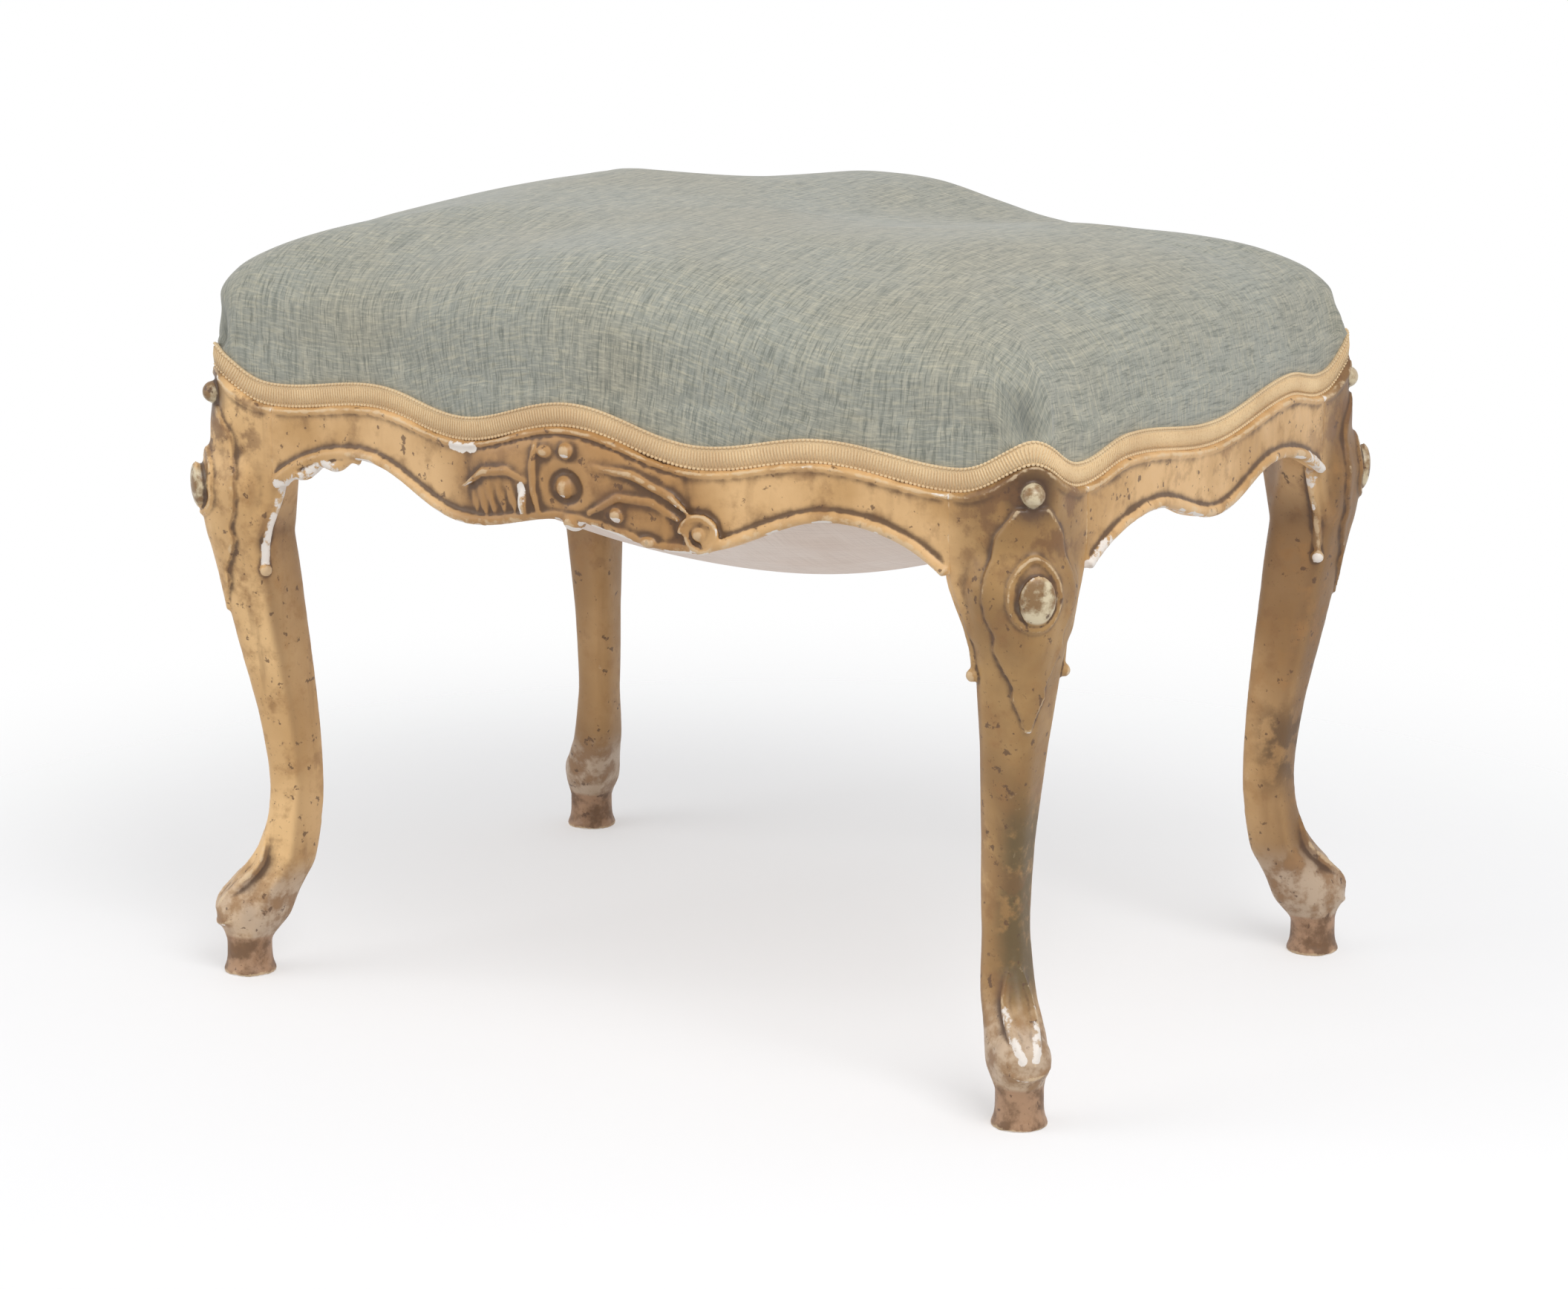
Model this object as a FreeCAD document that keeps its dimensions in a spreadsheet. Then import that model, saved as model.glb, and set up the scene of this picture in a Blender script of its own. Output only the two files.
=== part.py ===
"""Dressing stool: a carved and painted beech frame with a sprung, over-stuffed seat.

The origin is on the floor under the middle of the seat, X runs along the front, +Z is up, millimetres.
"""
import FreeCAD, Part
import math
import os
import Sketcher
from FreeCAD import Placement, Rotation, Vector

doc = FreeCAD.newDocument("dressing_stool")

# Driving dimensions, millimetres unless a name says otherwise
SIZES = {
    # Plan: leg axes, and reaches measured from a leg's axis
    "leg_axis_x": 278.5,
    "leg_axis_y": 195.7,
    "shoulder_reach": 42,
    "face_reach": 17,
    "head_corner": 24,
    "rail_thickness": 26,
    "front_bow": 29,
    "side_bow": 4.5,
    # Height of the rail tops, which the drops below are measured down from
    "frame_height": 396,
    # Show edge, where the carved wood ends under the braid: drops, and places along the rail
    "edge_front_crest": 7.5,
    "edge_front_dip": 25,
    "edge_front_lobe": 16,
    "edge_side_dip": 27.5,
    "edge_side_lobe": 17,
    "edge_shoulder": 24.5,
    "edge_ear": 6,
    "front_dip_at": 85,
    "front_lobe_at": 155,
    "side_lobe_at": 105,
    "ear_flat_at": 14,
    # Apron, the lower edge of the rails: drops, and places along the rail
    "apron_front_centre": 62,
    "apron_front_drop": 74,
    "apron_front_arch": 49,
    "apron_side_centre": 70,
    "apron_side_arch": 52,
    "apron_shoulder": 74,
    "front_drop_at": 75,
    "front_arch_at": 165,
    "side_arch_at": 80,
    "arch_foot": 108,
    "arch_foot_at": 28,
    # Upholstery rebate and the joints
    "rebate_depth": 6,
    "tenon_length": 30,
    "tenon_thickness": 9,
    "tenon_height": 30,
    "tenon_rise": 4,
    "tenon_setback": 8.5,
    "peg_diameter": 6,
    "peg_inset": 12,
    "peg_length": 25,
    "peg_fit": 0.1,
    # Corner blocks and their screws
    "block_depth": 30,
    "block_height": 34,
    "screw_diameter": 5,
    "screw_head": 9,
    "screw_length": 52,
    "screw_fit": 0.1,
    # Legs: foot peg, round toe and the levels of the cabriole curve
    "foot_diameter": 34,
    "foot_waist": 28,
    "foot_height": 23,
    "toe_radius": 18,
    "toe_reach": 3,
    "toe_height": 40,
    "knee_drop": 77,
    "knee_reach": 27,
    "knee_width": 66,
    "ankle_height": 107,
    "ankle_reach": 18,
    "ankle_depth": 33,
    "ankle_width": 29,
    "section_rounding": 0.3,
    # Webbing, bottom cloth and springs
    "webbing_drop": 44,
    "ledge_depth": 16,
    "webbing_tab": 12,
    "webbing_width": 50,
    "webbing_thickness": 1.5,
    "webbing_sag": 88,
    "bottom_thickness": 1,
    "bottom_clearance": 4,
    "spring_step_x": 95,
    "spring_row_y": 58,
    "spring_wire": 3.6,
    "spring_end_radius": 34,
    "spring_waist_radius": 25,
    "spring_turns": 4,
    # Canvas, stuffing, covers and braid
    "canvas_rise": 30,
    "canvas_thickness": 1,
    "cover_thickness": 1.5,
    "wall_rise": 8,
    "seat_bulge": 6,
    "crown_rise": 80,
    "crest_rise": 14,
    "crest_span": 190,
    "corner_fall": 6,
    "braid_width": 13,
    "braid_thickness": 3,
}

sheet = doc.addObject("Spreadsheet::Sheet", "Sizes")
for row, (alias, value) in enumerate(SIZES.items(), 1):
    sheet.set(f"A{row}", alias)
    sheet.set(f"B{row}", str(value))
    sheet.setAlias(f"B{row}", alias)
doc.recompute()


class Size:
    """A number with the sheet expression that gives it, so that both follow the same arithmetic."""

    def __init__(self, text, value):
        self.text = text
        self.value = value

    def join(self, sign, other, value):
        return Size(f"({self.text} {sign} {other.text})", value)

    def __add__(self, other):
        other = as_size(other)
        return self.join("+", other, self.value + other.value)

    def __sub__(self, other):
        other = as_size(other)
        return self.join("-", other, self.value - other.value)

    def __mul__(self, other):
        other = as_size(other)
        return self.join("*", other, self.value * other.value)

    def __truediv__(self, other):
        other = as_size(other)
        return self.join("/", other, self.value / other.value)

    def __rsub__(self, other):
        return as_size(other) - self

    def __rtruediv__(self, other):
        return as_size(other) / self

    def __neg__(self):
        return Size(f"(-1 * {self.text})", -self.value)

    __radd__ = __add__
    __rmul__ = __mul__


def as_size(number):
    return number if isinstance(number, Size) else Size(repr(float(number)), float(number))


def size(alias):
    return Size(f"Sizes.{alias}", float(sheet.get(alias)))


def root(number):
    return Size(f"sqrt({number.text})", math.sqrt(number.value))


def extreme(word, sizes):
    pick = {"min": min, "max": max}[word]
    text = "; ".join(one.text for one in sizes)
    return Size(f"{word}({text})", pick(one.value for one in sizes))


leg_x, leg_y = size("leg_axis_x"), size("leg_axis_y")
shoulder, face, corner = size("shoulder_reach"), size("face_reach"), size("head_corner")
rebate, core_top = size("rebate_depth"), size("frame_height")
inner = size("rail_thickness") - face


def below(alias):
    """A height that the sheet gives as a drop below the rail tops."""
    return core_top - size(alias)


ledge_height = below("webbing_drop")
tenon_bottom = ledge_height + size("tenon_rise")
peg_height = tenon_bottom + size("tenon_height") / 2
peg_bore = size("peg_diameter") + size("peg_fit")
BLANK_MARGIN = 4
edge_heights = [below(name) for name in SIZES if name.startswith("edge_")]
apron_heights = [below(name) for name in SIZES if name.startswith("apron_")]
blank_top = extreme("max", edge_heights) + BLANK_MARGIN
blank_bottom = extreme("min", apron_heights) - BLANK_MARGIN


# Sketches: closed outlines of lines and arcs, every point and radius bound to the sheet
def origin_plane(body, role):
    return next(plane for plane in body.Origin.OriginFeatures if plane.Role == role)


def new_sketch(body, name, role, lift=None, turn=None):
    """An empty sketch on an origin plane, lifted along the plane's normal and turned."""
    sketch = body.newObject("Sketcher::SketchObject", f"{body.Name}_{name}")
    sketch.AttachmentSupport = [(origin_plane(body, role), "")]
    sketch.MapMode = "FlatFace"
    lift = as_size(lift or 0)
    sketch.AttachmentOffset = Placement(Vector(0, 0, lift.value), turn or Rotation())
    sketch.setExpression("AttachmentOffset.Base.z", lift.text)
    return sketch


def bind_constraint(sketch, kind, ends, number):
    index = sketch.addConstraint(Sketcher.Constraint(kind, *ends, number.value))
    sketch.setExpression(f"Constraints[{index}]", number.text)


def fix_point(sketch, spot, point):
    """Hold a point of the outline at its two coordinates from the sketch's origin."""
    origin = (-1, 1)
    for kind, axis, number in (("DistanceX", -2, point[0]), ("DistanceY", -1, point[1])):
        if abs(number.value) < 1e-9:
            sketch.addConstraint(Sketcher.Constraint("PointOnObject", *spot, axis))
        elif number.value > 0:
            bind_constraint(sketch, kind, origin + spot, number)
        else:
            bind_constraint(sketch, kind, spot + origin, -number)


def arc_centre(start, end, radius):
    """Centre of the arc under a half circle from start to end, to the left for a positive radius."""
    middle = (start + end) / 2
    chord = end - start
    left = Vector(-chord.y, chord.x, 0) / chord.Length
    rise = math.sqrt(max(radius * radius - chord.Length ** 2 / 4, 0))
    return middle + left * math.copysign(rise, radius)


def draw(sketch, start, *runs):
    """A closed outline: a run is (x, y) for a line, or (x, y, radius) for an arc, positive turning left.

    The last run goes back to the start.
    """
    here = [as_size(number) for number in start]
    first = None
    last = None
    for count, run in enumerate(runs, 1):
        there = [as_size(number) for number in run[:2]]
        p, q = (Vector(point[0].value, point[1].value, 0) for point in (here, there))
        if len(run) == 2:
            index = sketch.addGeometry(Part.LineSegment(p, q), False)
            begin, end = (index, 1), (index, 2)
        else:
            radius = as_size(run[2])
            centre = arc_centre(p, q, radius.value)
            turning_left = radius.value > 0
            from_p, from_q = ((point - centre) for point in (p, q))
            angles = [math.atan2(ray.y, ray.x) for ray in (from_p, from_q)]
            circle = Part.Circle(centre, Vector(0, 0, 1), abs(radius.value))
            low, high = angles if turning_left else angles[::-1]
            high += 2 * math.pi if high < low else 0
            index = sketch.addGeometry(Part.ArcOfCircle(circle, low, high), False)
            begin, end = ((index, 1), (index, 2)) if turning_left else ((index, 2), (index, 1))
            bind_constraint(sketch, "Radius", (index,), radius if turning_left else -radius)
        if first is None:
            first = begin
            fix_point(sketch, begin, here)
        else:
            sketch.addConstraint(Sketcher.Constraint("Coincident", *last, *begin))
        if count == len(runs):
            sketch.addConstraint(Sketcher.Constraint("Coincident", *end, *first))
        else:
            fix_point(sketch, end, there)
        here, last = there, end
    return sketch


def ogee(start, end, along="x"):
    """Two equal arcs from start to end, level at both ends, or plumb where along is y."""
    (x0, y0), (x1, y1) = ([as_size(number) for number in point] for point in (start, end))
    run, rise = (x1 - x0, y1 - y0) if along == "x" else (y1 - y0, x1 - x0)
    sign = math.copysign(1, run.value * rise.value) * (1 if along == "x" else -1)
    flip = math.copysign(1, rise.value)
    radius = (run * run + rise * rise) / (4 * flip * rise)
    return [((x0 + x1) / 2, (y0 + y1) / 2, sign * radius), (x1, y1, -sign * radius)]


def wave(points):
    """A chain of ogees through crests and dips."""
    runs = []
    for start, end in zip(points, points[1:]):
        runs += ogee(start, end)
    return runs


def mirrored(points):
    """Crests and dips on both sides of the middle, from the left end to the right end."""
    return [(-x, z) for x, z in points[:0:-1]] + list(points)


def extrude(body, kind, name, sketch, **settings):
    feature = body.newObject(f"PartDesign::{kind}", f"{body.Name}_{name}")
    feature.Profile = sketch
    for prop, value in settings.items():
        if isinstance(value, Size):
            setattr(feature, prop, value.value)
            feature.setExpression(prop, value.text)
        else:
            setattr(feature, prop, value)
    sketch.Visibility = False
    return feature


def new_body(name, spot, angle):
    """A body turned about the vertical and set at a bound place in plan."""
    body = doc.addObject("PartDesign::Body", name)
    body.Label = name
    x, y = (as_size(number) for number in spot)
    body.Placement = Placement(Vector(x.value, y.value, 0), Rotation(Vector(0, 0, 1), angle))
    body.setExpression("Placement.Base.x", x.text)
    body.setExpression("Placement.Base.y", y.text)
    return body


def rectangle(sketch, low, high):
    (x0, y0), (x1, y1) = low, high
    return draw(sketch, (x0, y0), (x1, y0), (x1, y1), (x0, y1), (x0, y0))


# Seat rails: bowed in plan, waved above and below, with a rebate for the cover and a ledge for webbing
OVERRUN = 6


def make_rail(name, length_axis, depth_axis, bow, edge, apron, angle):
    """A rail along X whose show face looks towards -Y, before it is turned to its side of the stool."""
    body = new_body(name, (0, 0), angle)
    half = length_axis - shoulder
    show = depth_axis + face
    back = depth_axis - inner
    past = half + OVERRUN

    def plan(sketch, inset):
        left, middle, right = ((x, inset - show) for x in (-half, 0, half))
        return draw(sketch, left, *bow([left, middle, right]), (half, -back), (-half, -back), left)

    blank = plan(new_sketch(body, "plan", "XY_Plane", blank_bottom), 0)
    extrude(body, "Pad", "blank", blank, Length=blank_top - blank_bottom)

    edge = mirrored(edge + [(half, below("edge_shoulder"))])
    end_height = below("edge_shoulder")
    top = new_sketch(body, "show_edge", "XZ_Plane")
    high = blank_top + OVERRUN
    draw(top, (-past, end_height), (-half, end_height), *wave(edge), (past, end_height),
         (past, high), (-past, high), (-past, end_height))
    extrude(body, "Pocket", "show_cut", top, Type="ThroughAll", Midplane=True)

    arch_at, arch = apron[-1]
    foot = below("apron_shoulder")
    run, fall = half - arch_at, arch - foot
    sweep = (run * run + fall * fall) / (2 * fall)
    low = blank_bottom - OVERRUN
    under = new_sketch(body, "apron_edge", "XZ_Plane")
    draw(under, (-past, foot), (-half, foot), (-arch_at, arch, -sweep), *wave(mirrored(apron)),
         (half, foot, -sweep), (past, foot), (past, low), (-past, low), (-past, foot))
    extrude(body, "Pocket", "apron_cut", under, Type="ThroughAll", Midplane=True)

    ledge = new_sketch(body, "ledge", "XY_Plane", ledge_height)
    rectangle(ledge, (-past, -back - size("ledge_depth")), (past, -back + OVERRUN))
    extrude(body, "Pocket", "ledge_cut", ledge, Type="ThroughAll")

    core = plan(new_sketch(body, "core", "XY_Plane", ledge_height), rebate)
    extrude(body, "Pad", "core_pad", core, Length=core_top - ledge_height)

    tenon = new_sketch(body, "tenon", "YZ_Plane")
    cheek = depth_axis + size("tenon_setback")
    rectangle(tenon, (-cheek, tenon_bottom),
              (size("tenon_thickness") - cheek, tenon_bottom + size("tenon_height")))
    extrude(body, "Pad", "tenons", tenon, Length=2 * (half + size("tenon_length")), Midplane=True)

    for side in (-1, 1):
        hole = new_sketch(body, f"peg_hole_{side + 1}", "XZ_Plane")
        circle(hole, (side * (half + size("peg_inset")), peg_height), peg_bore)
        extrude(body, "Pocket", f"peg_cut_{side + 1}", hole, Type="ThroughAll", Midplane=True)
    return body


def circle(sketch, centre, diameter):
    centre = [as_size(number) for number in centre]
    diameter = as_size(diameter)
    spot = Vector(centre[0].value, centre[1].value, 0)
    index = sketch.addGeometry(Part.Circle(spot, Vector(0, 0, 1), diameter.value / 2), False)
    bind_constraint(sketch, "Diameter", (index,), diameter)
    fix_point(sketch, (index, 3), centre)
    return sketch


def serpentine(ends):
    """The front's plan line: bowed out in the middle, level at the shoulders."""
    left, (x, y), right = ends
    return wave([left, (x, y - size("front_bow")), right])


def single_bow(ends):
    """The sides' plan line: one shallow arc."""
    left, middle, (x, y) = ends
    rise = size("side_bow")
    return [(x, y, (x * x + rise * rise) / (2 * rise))]


FRONT_EDGE = [(as_size(0), below("edge_front_crest")),
              (size("front_dip_at"), below("edge_front_dip")),
              (size("front_lobe_at"), below("edge_front_lobe"))]
FRONT_APRON = [(as_size(0), below("apron_front_centre")),
               (size("front_drop_at"), below("apron_front_drop")),
               (size("front_arch_at"), below("apron_front_arch"))]
SIDE_EDGE = [(as_size(0), below("edge_side_dip")),
             (size("side_lobe_at"), below("edge_side_lobe"))]
SIDE_APRON = [(as_size(0), below("apron_side_centre")),
              (size("side_arch_at"), below("apron_side_arch"))]

parts = []


def make_twin(name, source, normal):
    """The same piece handed over to the other side of the stool's middle plane."""
    twin = doc.addObject("Part::Mirroring", name)
    twin.Source = source
    twin.Normal = Vector(*normal)
    twin.Label = name
    parts.append(twin)
    return twin


ACROSS, AHEAD = (1, 0, 0), (0, 1, 0)
rail_front = make_rail("rail_front", leg_x, leg_y, serpentine, FRONT_EDGE, FRONT_APRON, 0)
rail_right = make_rail("rail_right", leg_y, leg_x, single_bow, SIDE_EDGE, SIDE_APRON, 90)
parts += [rail_front, rail_right]
make_twin("rail_back", rail_front, AHEAD)
make_twin("rail_left", rail_right, ACROSS)

# Legs: a head with two shoulders, a carved knee, a cabriole curve, a round toe and a turned foot peg
DIAGONAL = Rotation(Vector(0, 0, 1), -45)
SIDEWAYS = Rotation(Vector(0, 0, 1), -45) * Rotation(Vector(1, 0, 0), 90)
INWARD = Rotation(Vector(0, 0, 1), -45) * Rotation(Vector(0, 1, 0), 90)
CORNERS = {"front_right": (1, -1), "back_right": (1, 1), "back_left": (-1, 1), "front_left": (-1, -1)}
ROOT_TWO = math.sqrt(2)
block_face = (shoulder + inner) / 2 * ROOT_TWO
block_bottom = tenon_bottom
screw_height = block_bottom + size("block_height") / 2
screw_bore = size("screw_diameter") + size("screw_fit")
SCREW_CLEARANCE = 2
SCREW_HEAD_HEIGHT = 3


def leg_levels():
    """Height, outer reach and inner reach on the diagonal, and width, from the foot peg up to the knee."""
    foot, ankle, knee = size("foot_height"), size("ankle_height"), below("knee_drop")
    reach, depth, width = size("ankle_reach"), size("ankle_depth"), size("ankle_width")
    bulge, breadth = size("knee_reach"), size("knee_width")
    low, rise = ankle - foot, knee - ankle
    peg = size("foot_waist") / 2
    rows = [(foot, peg + 2, -peg - 2, 2 * peg + 2)]
    for share, out, thick, wide in ((0.15, 33, 9, 9), (0.33, 31, 13, 8), (0.55, 14, 6, 5), (1, 0, 0, 0)):
        outer = out - reach
        rows.append((foot + share * low, outer, outer - depth - thick, width + wide))
    for share, out, thick, wide in ((0.26, 7, 5, 3), (0.54, 22, 14, 11), (0.8, 34, 19, 23)):
        outer = out - reach
        rows.append((ankle + share * rise, outer, outer - depth - thick, width + wide))
    rows.append((knee - 14, bulge - 3, bulge - 60, breadth - 4))
    rows.append((knee, bulge, bulge - 62, breadth))
    rows.append((knee + 14, bulge - 7, bulge - 60, breadth - 6))
    rows.append((knee + 30, bulge - 16, bulge - 54, breadth - 20))
    return rows


def draw_diamond(sketch, outer, inward, width):
    """A diamond with rounded corners: one arris on the diagonal of the stool, one to each side."""
    share = size("section_rounding")
    spread = 1 / (1 - share / (1 + 1 / ROOT_TWO))
    middle = (outer + inward) / 2
    deep = spread * (outer - inward) / 2
    wide = spread * as_size(width) / 2
    side = root(deep * deep + wide * wide)
    blunt, sharp = share * side * wide / deep, share * side * deep / wide
    near, far = share, 1 - share

    def spot(along, across):
        return middle + along * deep, across * wide

    return draw(sketch, spot(far, -near), spot(far, near) + (blunt,), spot(near, far),
                spot(-near, far) + (sharp,), spot(-far, near), spot(-far, -near) + (blunt,),
                spot(-near, -far), spot(near, -far) + (sharp,), spot(far, -near))


def make_leg(name, spot):
    """A leg with its axis at the spot and its knee towards +X and -Y."""
    body = new_body(name, spot, 0)

    def plan(sketch, inset):
        show, bend = face - inset, corner - inset
        return draw(sketch, (-shoulder, -show), (show - bend, -show), (show, bend - show, bend),
                    (show, shoulder), (-inner, shoulder), (-shoulder, inner), (-shoulder, -show))

    arch_foot = below("arch_foot")
    blank = plan(new_sketch(body, "plan", "XY_Plane", arch_foot), 0)
    extrude(body, "Pad", "head", blank, Length=blank_top - arch_foot)

    # The ear rises from each shoulder, and the arch falls from it to the knee's side
    past, high = shoulder + OVERRUN, blank_top + OVERRUN
    dip, ear, flat = below("edge_shoulder"), below("edge_ear"), size("ear_flat_at")
    low, foot = below("apron_shoulder"), size("arch_foot_at")
    beyond = face + OVERRUN
    for role, way in (("XZ_Plane", -1), ("YZ_Plane", 1)):
        top = new_sketch(body, f"ear_{role[:2]}", role)
        draw(top, (way * past, dip), (way * shoulder, dip),
             *ogee((way * shoulder, dip), (way * flat, ear)), (-way * beyond, ear),
             (-way * beyond, high), (way * past, high), (way * past, dip))
        extrude(body, "Pocket", f"ear_cut_{role[:2]}", top, Type="ThroughAll", Midplane=True)
        under = new_sketch(body, f"arch_{role[:2]}", role)
        draw(under, (way * past, low), (way * shoulder, low), (way * foot, arch_foot),
             (way * foot, arch_foot - OVERRUN), (way * past, arch_foot - OVERRUN), (way * past, low))
        extrude(body, "Pocket", f"arch_cut_{role[:2]}", under, Type="ThroughAll", Midplane=True)

    core = plan(new_sketch(body, "core", "XY_Plane", ledge_height), rebate)
    extrude(body, "Pad", "core_pad", core, Length=core_top - ledge_height)

    sections = []
    for count, (height, outer, inward, width) in enumerate(leg_levels()):
        section = new_sketch(body, f"section_{count}", "XY_Plane", height, DIAGONAL)
        sections.append(draw_diamond(section, outer, inward, width))
    loft = body.newObject("PartDesign::AdditiveLoft", f"{name}_cabriole")
    loft.Profile = sections[0]
    loft.Sections = sections[1:]
    loft.Ruled = True

    toe = new_sketch(body, "toe", "XY_Plane", size("toe_height"), SIDEWAYS)
    ball, ahead = size("toe_radius"), size("toe_reach")
    draw(toe, (ahead + ball, 0), (ahead, ball, ball), (ahead - ball, 0, ball), (ahead + ball, 0))
    round_toe = extrude(body, "Revolution", "round_toe", toe, Angle=360)
    round_toe.ReferenceAxis = (toe, ["H_Axis"])

    peg = new_sketch(body, "foot", "XZ_Plane")
    radius, waist, top = size("foot_diameter") / 2, size("foot_waist") / 2, size("foot_height")
    flare = radius - waist
    hollow = (flare * flare + top * top / 4) / (2 * flare)
    draw(peg, (0, 0), (radius, 0), (waist, top / 2, -hollow), (waist, top + 4), (0, top + 4), (0, 0))
    foot_peg = extrude(body, "Revolution", "foot_peg", peg, Angle=360)
    foot_peg.ReferenceAxis = (peg, ["V_Axis"])

    # Mortises for the two rails, peg holes from inside, and holes for the block's screws
    cheek = size("tenon_setback")
    near, far = size("tenon_thickness") - cheek, -cheek
    tall = tenon_bottom + size("tenon_height")
    long_mortise = new_sketch(body, "mortise_x", "YZ_Plane", -shoulder)
    rectangle(long_mortise, (far, tenon_bottom), (near, tall))
    extrude(body, "Pocket", "mortise_cut_x", long_mortise, Length=size("tenon_length"), Reversed=True)
    cross_mortise = new_sketch(body, "mortise_y", "XZ_Plane", -shoulder)
    rectangle(cross_mortise, (-near, tenon_bottom), (-far, tall))
    extrude(body, "Pocket", "mortise_cut_y", cross_mortise, Length=size("tenon_length"), Reversed=True)
    at = shoulder - size("peg_inset")
    reach = shoulder + cheek
    peg_x = new_sketch(body, "peg_x", "XZ_Plane", -shoulder)
    circle(peg_x, (-at, peg_height), peg_bore)
    extrude(body, "Pocket", "peg_cut_x", peg_x, Length=reach, Reversed=True)
    peg_y = new_sketch(body, "peg_y", "YZ_Plane", -shoulder)
    circle(peg_y, (at, peg_height), peg_bore)
    extrude(body, "Pocket", "peg_cut_y", peg_y, Length=reach, Reversed=True)
    hole = new_sketch(body, "screw", "XY_Plane", 0, INWARD)
    circle(hole, (-screw_height, 0), screw_bore)
    mouth = block_face / ROOT_TWO
    hole.AttachmentOffset = Placement(Vector(-mouth.value, mouth.value, 0), INWARD)
    hole.setExpression("AttachmentOffset.Base.x", (-mouth).text)
    hole.setExpression("AttachmentOffset.Base.y", mouth.text)
    depth = size("screw_length") - size("block_depth") + SCREW_CLEARANCE
    extrude(body, "Pocket", "screw_cut", hole, Length=depth, Reversed=True)
    return body


def make_four(stem, maker):
    """A piece at the front right corner and its three mirrored twins."""
    first = maker(f"{stem}_front_right", (leg_x, -leg_y))
    parts.append(first)
    make_twin(f"{stem}_front_left", first, ACROSS)
    back = make_twin(f"{stem}_back_right", first, AHEAD)
    make_twin(f"{stem}_back_left", back, ACROSS)


make_four("leg", make_leg)


# Pegs that lock the tenons, driven in from the inside of the frame
def bound_cylinder(name, radius, height, base, direction):
    """A cylinder from a bound base point along a fixed direction."""
    cylinder = doc.addObject("Part::Cylinder", name)
    radius, height = as_size(radius), as_size(height)
    base = [as_size(number) for number in base]
    turn = Rotation(Vector(0, 0, 1), Vector(*direction))
    cylinder.Placement = Placement(Vector(*(number.value for number in base)), turn)
    cylinder.setExpression("Radius", radius.text)
    cylinder.setExpression("Height", height.text)
    for axis, number in zip("xyz", base):
        cylinder.setExpression(f"Placement.Base.{axis}", number.text)
    return cylinder


def group(name, links):
    """Loose pieces of one kind, kept as separate solids under one name."""
    compound = doc.addObject("Part::Compound", name)
    compound.Links = links
    compound.Label = name
    return compound


peg_end = size("tenon_setback")
peg_at = shoulder - size("peg_inset")
pegs = []
for place, (sx, sy) in CORNERS.items():
    peg_size = size("peg_diameter") / 2, size("peg_length")
    base = (sx * (leg_x - peg_at), sy * (leg_y + peg_end), peg_height)
    pegs.append(bound_cylinder(f"peg_long_{place}", *peg_size, base, (0, -sy, 0)))
    base = (sx * (leg_x + peg_end), sy * (leg_y - peg_at), peg_height)
    pegs.append(bound_cylinder(f"peg_cross_{place}", *peg_size, base, (-sx, 0, 0)))
parts.append(group("tenon_pegs", pegs))


# Corner blocks: glued behind each leg, rail to rail, and screwed through to the leg
def make_block(name, spot):
    body = new_body(name, spot, 0)
    arm = size("block_depth") * ROOT_TWO
    plan = new_sketch(body, "plan", "XY_Plane", block_bottom)
    draw(plan, (-shoulder, inner), (-inner, shoulder), (-inner, shoulder + arm),
         (-shoulder - arm, inner), (-shoulder, inner))
    extrude(body, "Pad", "block", plan, Length=size("block_height"))
    hole = new_sketch(body, "screw", "XY_Plane", 0, INWARD)
    circle(hole, (-screw_height, 0), screw_bore)
    extrude(body, "Pocket", "screw_cut", hole, Type="ThroughAll", Midplane=True)
    return body


screws = []
screw_seat = (block_face + size("block_depth")) / ROOT_TWO
make_four("corner_block", make_block)
for place, (sx, sy) in CORNERS.items():
    base = (sx * (leg_x - screw_seat), sy * (leg_y - screw_seat), screw_height)
    thick, head = size("screw_diameter") / 2, size("screw_head") / 2
    shank = bound_cylinder(f"shank_{place}", thick, size("screw_length"), base, (sx, sy, 0))
    cap = bound_cylinder(f"cap_{place}", head, SCREW_HEAD_HEIGHT, base, (-sx, -sy, 0))
    screw = doc.addObject("Part::Fuse", f"screw_{place}")
    screw.Base, screw.Tool = shank, cap
    screws.append(screw)
parts.append(group("corner_block_screws", screws))


# Plain numbers from the sheet, for the forms below that are worked out point by point
def number(alias):
    return size(alias).value


def solid_part(name, shape):
    """A sub-part whose shape is built directly from curves and faces."""
    part = doc.addObject("Part::Feature", name)
    part.Shape = shape
    part.Label = name
    part.Placement = Placement()
    parts.append(part)


def box(low, high):
    span = Vector(*high) - Vector(*low)
    return Part.makeBox(span.x, span.y, span.z, Vector(*low))


# Jute webbing and bottom cloth: sheets tacked under the ledges, bowed down both ways by the springs
SPAN_X = (leg_x - inner).value
SPAN_Y = (leg_y - inner).value
RIM = ledge_height.value
TAB = number("webbing_tab")
WEB = number("webbing_thickness")


def dish(half_x, half_y, rim, sag, thickness):
    """A sheet with a level straight rim, whose upper face falls by sag to the middle."""
    surface = Part.BezierSurface()
    surface.increase(2, 2)
    for row, x in enumerate((-half_x, 0, half_x), 1):
        for column, y in enumerate((-half_y, 0, half_y), 1):
            drop = 4 * sag if row == column == 2 else 0
            surface.setPole(row, column, Vector(x, y, rim - drop))
    return surface.toShape().extrude(Vector(0, 0, -thickness))


def dish_height(x, y, half_x, half_y, rim, sag):
    return rim - sag * (1 - (x / half_x) ** 2) * (1 - (y / half_y) ** 2)


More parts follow.
